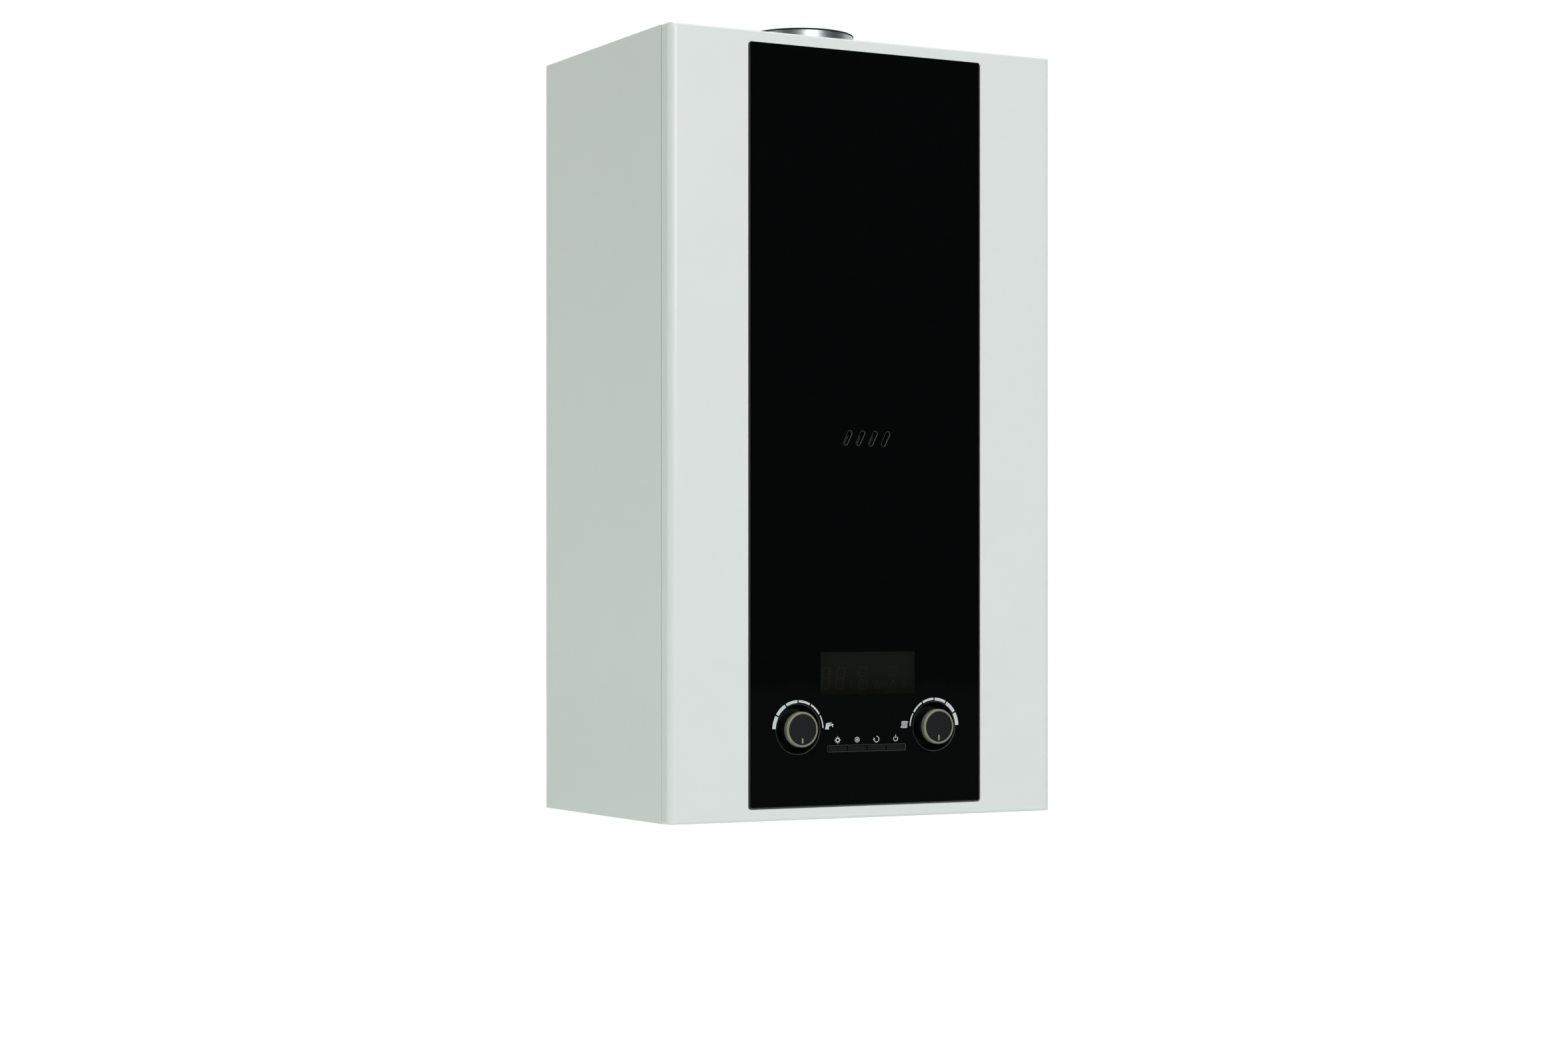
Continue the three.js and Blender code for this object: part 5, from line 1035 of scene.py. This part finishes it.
# %% Finishes for the carried-over pieces
finish_of = {
    zinc: "back_frame bottom_plate air_chamber_ chamber_bracket_",
    enamel: "roof_panel",
    smoked_glass: "sight_glass",
    cast: "flue_spigot fan_volute gas_manifold gas_valve",
    grey_plastic: "control_box air_pressure_switch selector_shaft_",
    display_face: "display_module",
    board_green: "control_board",
    steel: "combustion_chamber flue_hood fan_impeller burner plate_heat_exchanger",
    fibre: "chamber_insulation",
    copper: "heat_exchanger flow_pipe return_pipe gas_pipe",
    motor_black: "fan_motor diverter_actuator cable_gland",
    pump_grey: "pump_motor",
    ceramic: "ignition_electrode",
    rubber: "pressure_tube",
    red_enamel: "expansion_vessel",
    brass: "diverter_valve pump_body union_",
    red_plastic: "safety_valve_cap",
    blue_plastic: "filling_knob",
}
carried = 0
for material, starts in finish_of.items():
    for name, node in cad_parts.items():
        if name.startswith(tuple(starts.split())):
            node.data.materials.clear()
            node.data.materials.append(material)
            carried += 1
print("carried over:", carried)

# %% [markdown]
# ## Studio
# The boiler hangs above a pale floor, as it would on a wall at chest height. Large soft lamps
# stand in front and above, and two small ones light it from below. The world gives an even grey
# fill, and the camera sees it plain white. The glass has to stay black as in the photograph, so
# whatever a shiny surface mirrors of the room in front of the boiler, and of the floor there, is
# dark. Behind the boiler it mirrors a white room and the pale floor.

# %% The floor
FLOOR_DROP, FLOOR_REACH, FLOOR_GLOW = 900, 30000, 0.72
MIRRORED_FLOOR, MIRRORED_FROM, MIRRORED_TO = 0.035, 0.0, -0.3
floor_mesh = bpy.data.meshes.new("floor")
floor_mesh.from_pydata([at(x * FLOOR_REACH, depth * FLOOR_REACH, -FLOOR_DROP) for x, depth in (
    (-1, -1), (1, -1), (1, 1), (-1, 1))], [], [(0, 1, 2, 3)])
floor = linked("floor", floor_mesh)
floor_paint = finish("pale_floor", (240, 240, 240), (236, 236, 236), (0.8, 0.9), 20)
floor_mesh.materials.append(floor_paint)
tree = floor_paint.node_tree
shader = tree.nodes["Principled BSDF"]
rays = wired(tree, "ShaderNodeLightPath").outputs
place = wired(tree, "ShaderNodeTexCoord").outputs["Object"]
depth = wired(tree, "ShaderNodeSeparateXYZ", {"Vector": place}).outputs["Y"]
in_front = wired(tree, "ShaderNodeMapRange", {
    "From Min": MIRRORED_FROM, "From Max": MIRRORED_TO, "Value": depth})
mirrored = wired(tree, "ShaderNodeMix", {
    "A": shader.inputs["Base Color"].links[0].from_socket,
    "B": (MIRRORED_FLOOR, MIRRORED_FLOOR, MIRRORED_FLOOR, 1),
    "Factor": reckoned(tree, "MULTIPLY", rays["Is Glossy Ray"], in_front)}, data_type="RGBA")
fed(shader, {"Base Color": mirrored.outputs["Result"], "Emission Color": (1, 1, 1, 1),
             "Emission Strength": reckoned(tree, "MULTIPLY", rays["Is Camera Ray"], FLOOR_GLOW)})
print("floor:", FLOOR_DROP, "mm under the case")

# %% The lamps
def lamp(name, place, aim, size, watts, tint=(1, 1, 1)):
    data = bpy.data.lights.new(name, "AREA")
    data.shape, data.size, data.energy, data.color = "SQUARE", size, watts, tint
    light = linked(name, data)
    light.location = place
    light.rotation_euler = (Vector(aim) - Vector(place)).to_track_quat("-Z", "Y").to_euler()


case_middle = (0, -0.13, -0.3)
lamp("key_softbox", (-0.2, -3.3, 0.9), case_middle, 1.8, 48, (0.97, 0.93, 1.0))
lamp("low_side_card", (-1.0, -0.3, -1.4), (-0.2, -0.13, -0.65), 0.7, 4, (0.88, 1.0, 0.92))
lamp("low_front_card", (1.0, -1.4, -1.5), (0.15, -0.26, -0.6), 0.8, 3)
lamp("top_softbox", (0.6, 0.4, 3.0), case_middle, 2.0, 24)
print("lamps:", len(bpy.data.lights))

# %% The world
FILL, DARK_ROOM, ROOM_EDGE = 0.44, 0.014, (-0.35, 0.1)
world = bpy.data.worlds.new("studio")
world.use_nodes = True
scene.world = world
sky = world.node_tree
fill = fed(sky.nodes["Background"], {"Color": (0.93, 1.0, 0.95, 1), "Strength": FILL})
backdrop = wired(sky, "ShaderNodeBackground", {"Color": (1, 1, 1, 1)})
dark_side = wired(sky, "ShaderNodeBackground", {"Color": (0.75, 0.9, 1.0, 1), "Strength": DARK_ROOM})
rays = wired(sky, "ShaderNodeLightPath").outputs
direction = wired(sky, "ShaderNodeTexCoord").outputs["Generated"]
parts = wired(sky, "ShaderNodeSeparateXYZ", {"Vector": direction}).outputs
behind = wired(sky, "ShaderNodeMapRange", {
    "From Min": ROOM_EDGE[0], "From Max": ROOM_EDGE[1], "Value": parts["Y"]})
mirrored = wired(sky, "ShaderNodeMixShader", {"Fac": behind, 1: dark_side, 2: backdrop})
glossy = wired(sky, "ShaderNodeMixShader", {"Fac": rays["Is Glossy Ray"], 1: fill, 2: mirrored})
seen = reckoned(sky, "MAXIMUM", rays["Is Camera Ray"], rays["Is Transmission Ray"])
whole = wired(sky, "ShaderNodeMixShader", {"Fac": seen, 1: glossy, 2: backdrop})
fed(sky.nodes["World Output"], {"Surface": whole})
scene.view_settings.view_transform = "Standard"
print("world nodes:", len(sky.nodes))

# %% [markdown]
# ## Closing
# The screw head that served as a pattern goes.

# %% Removing the pattern
discard(screw_head)
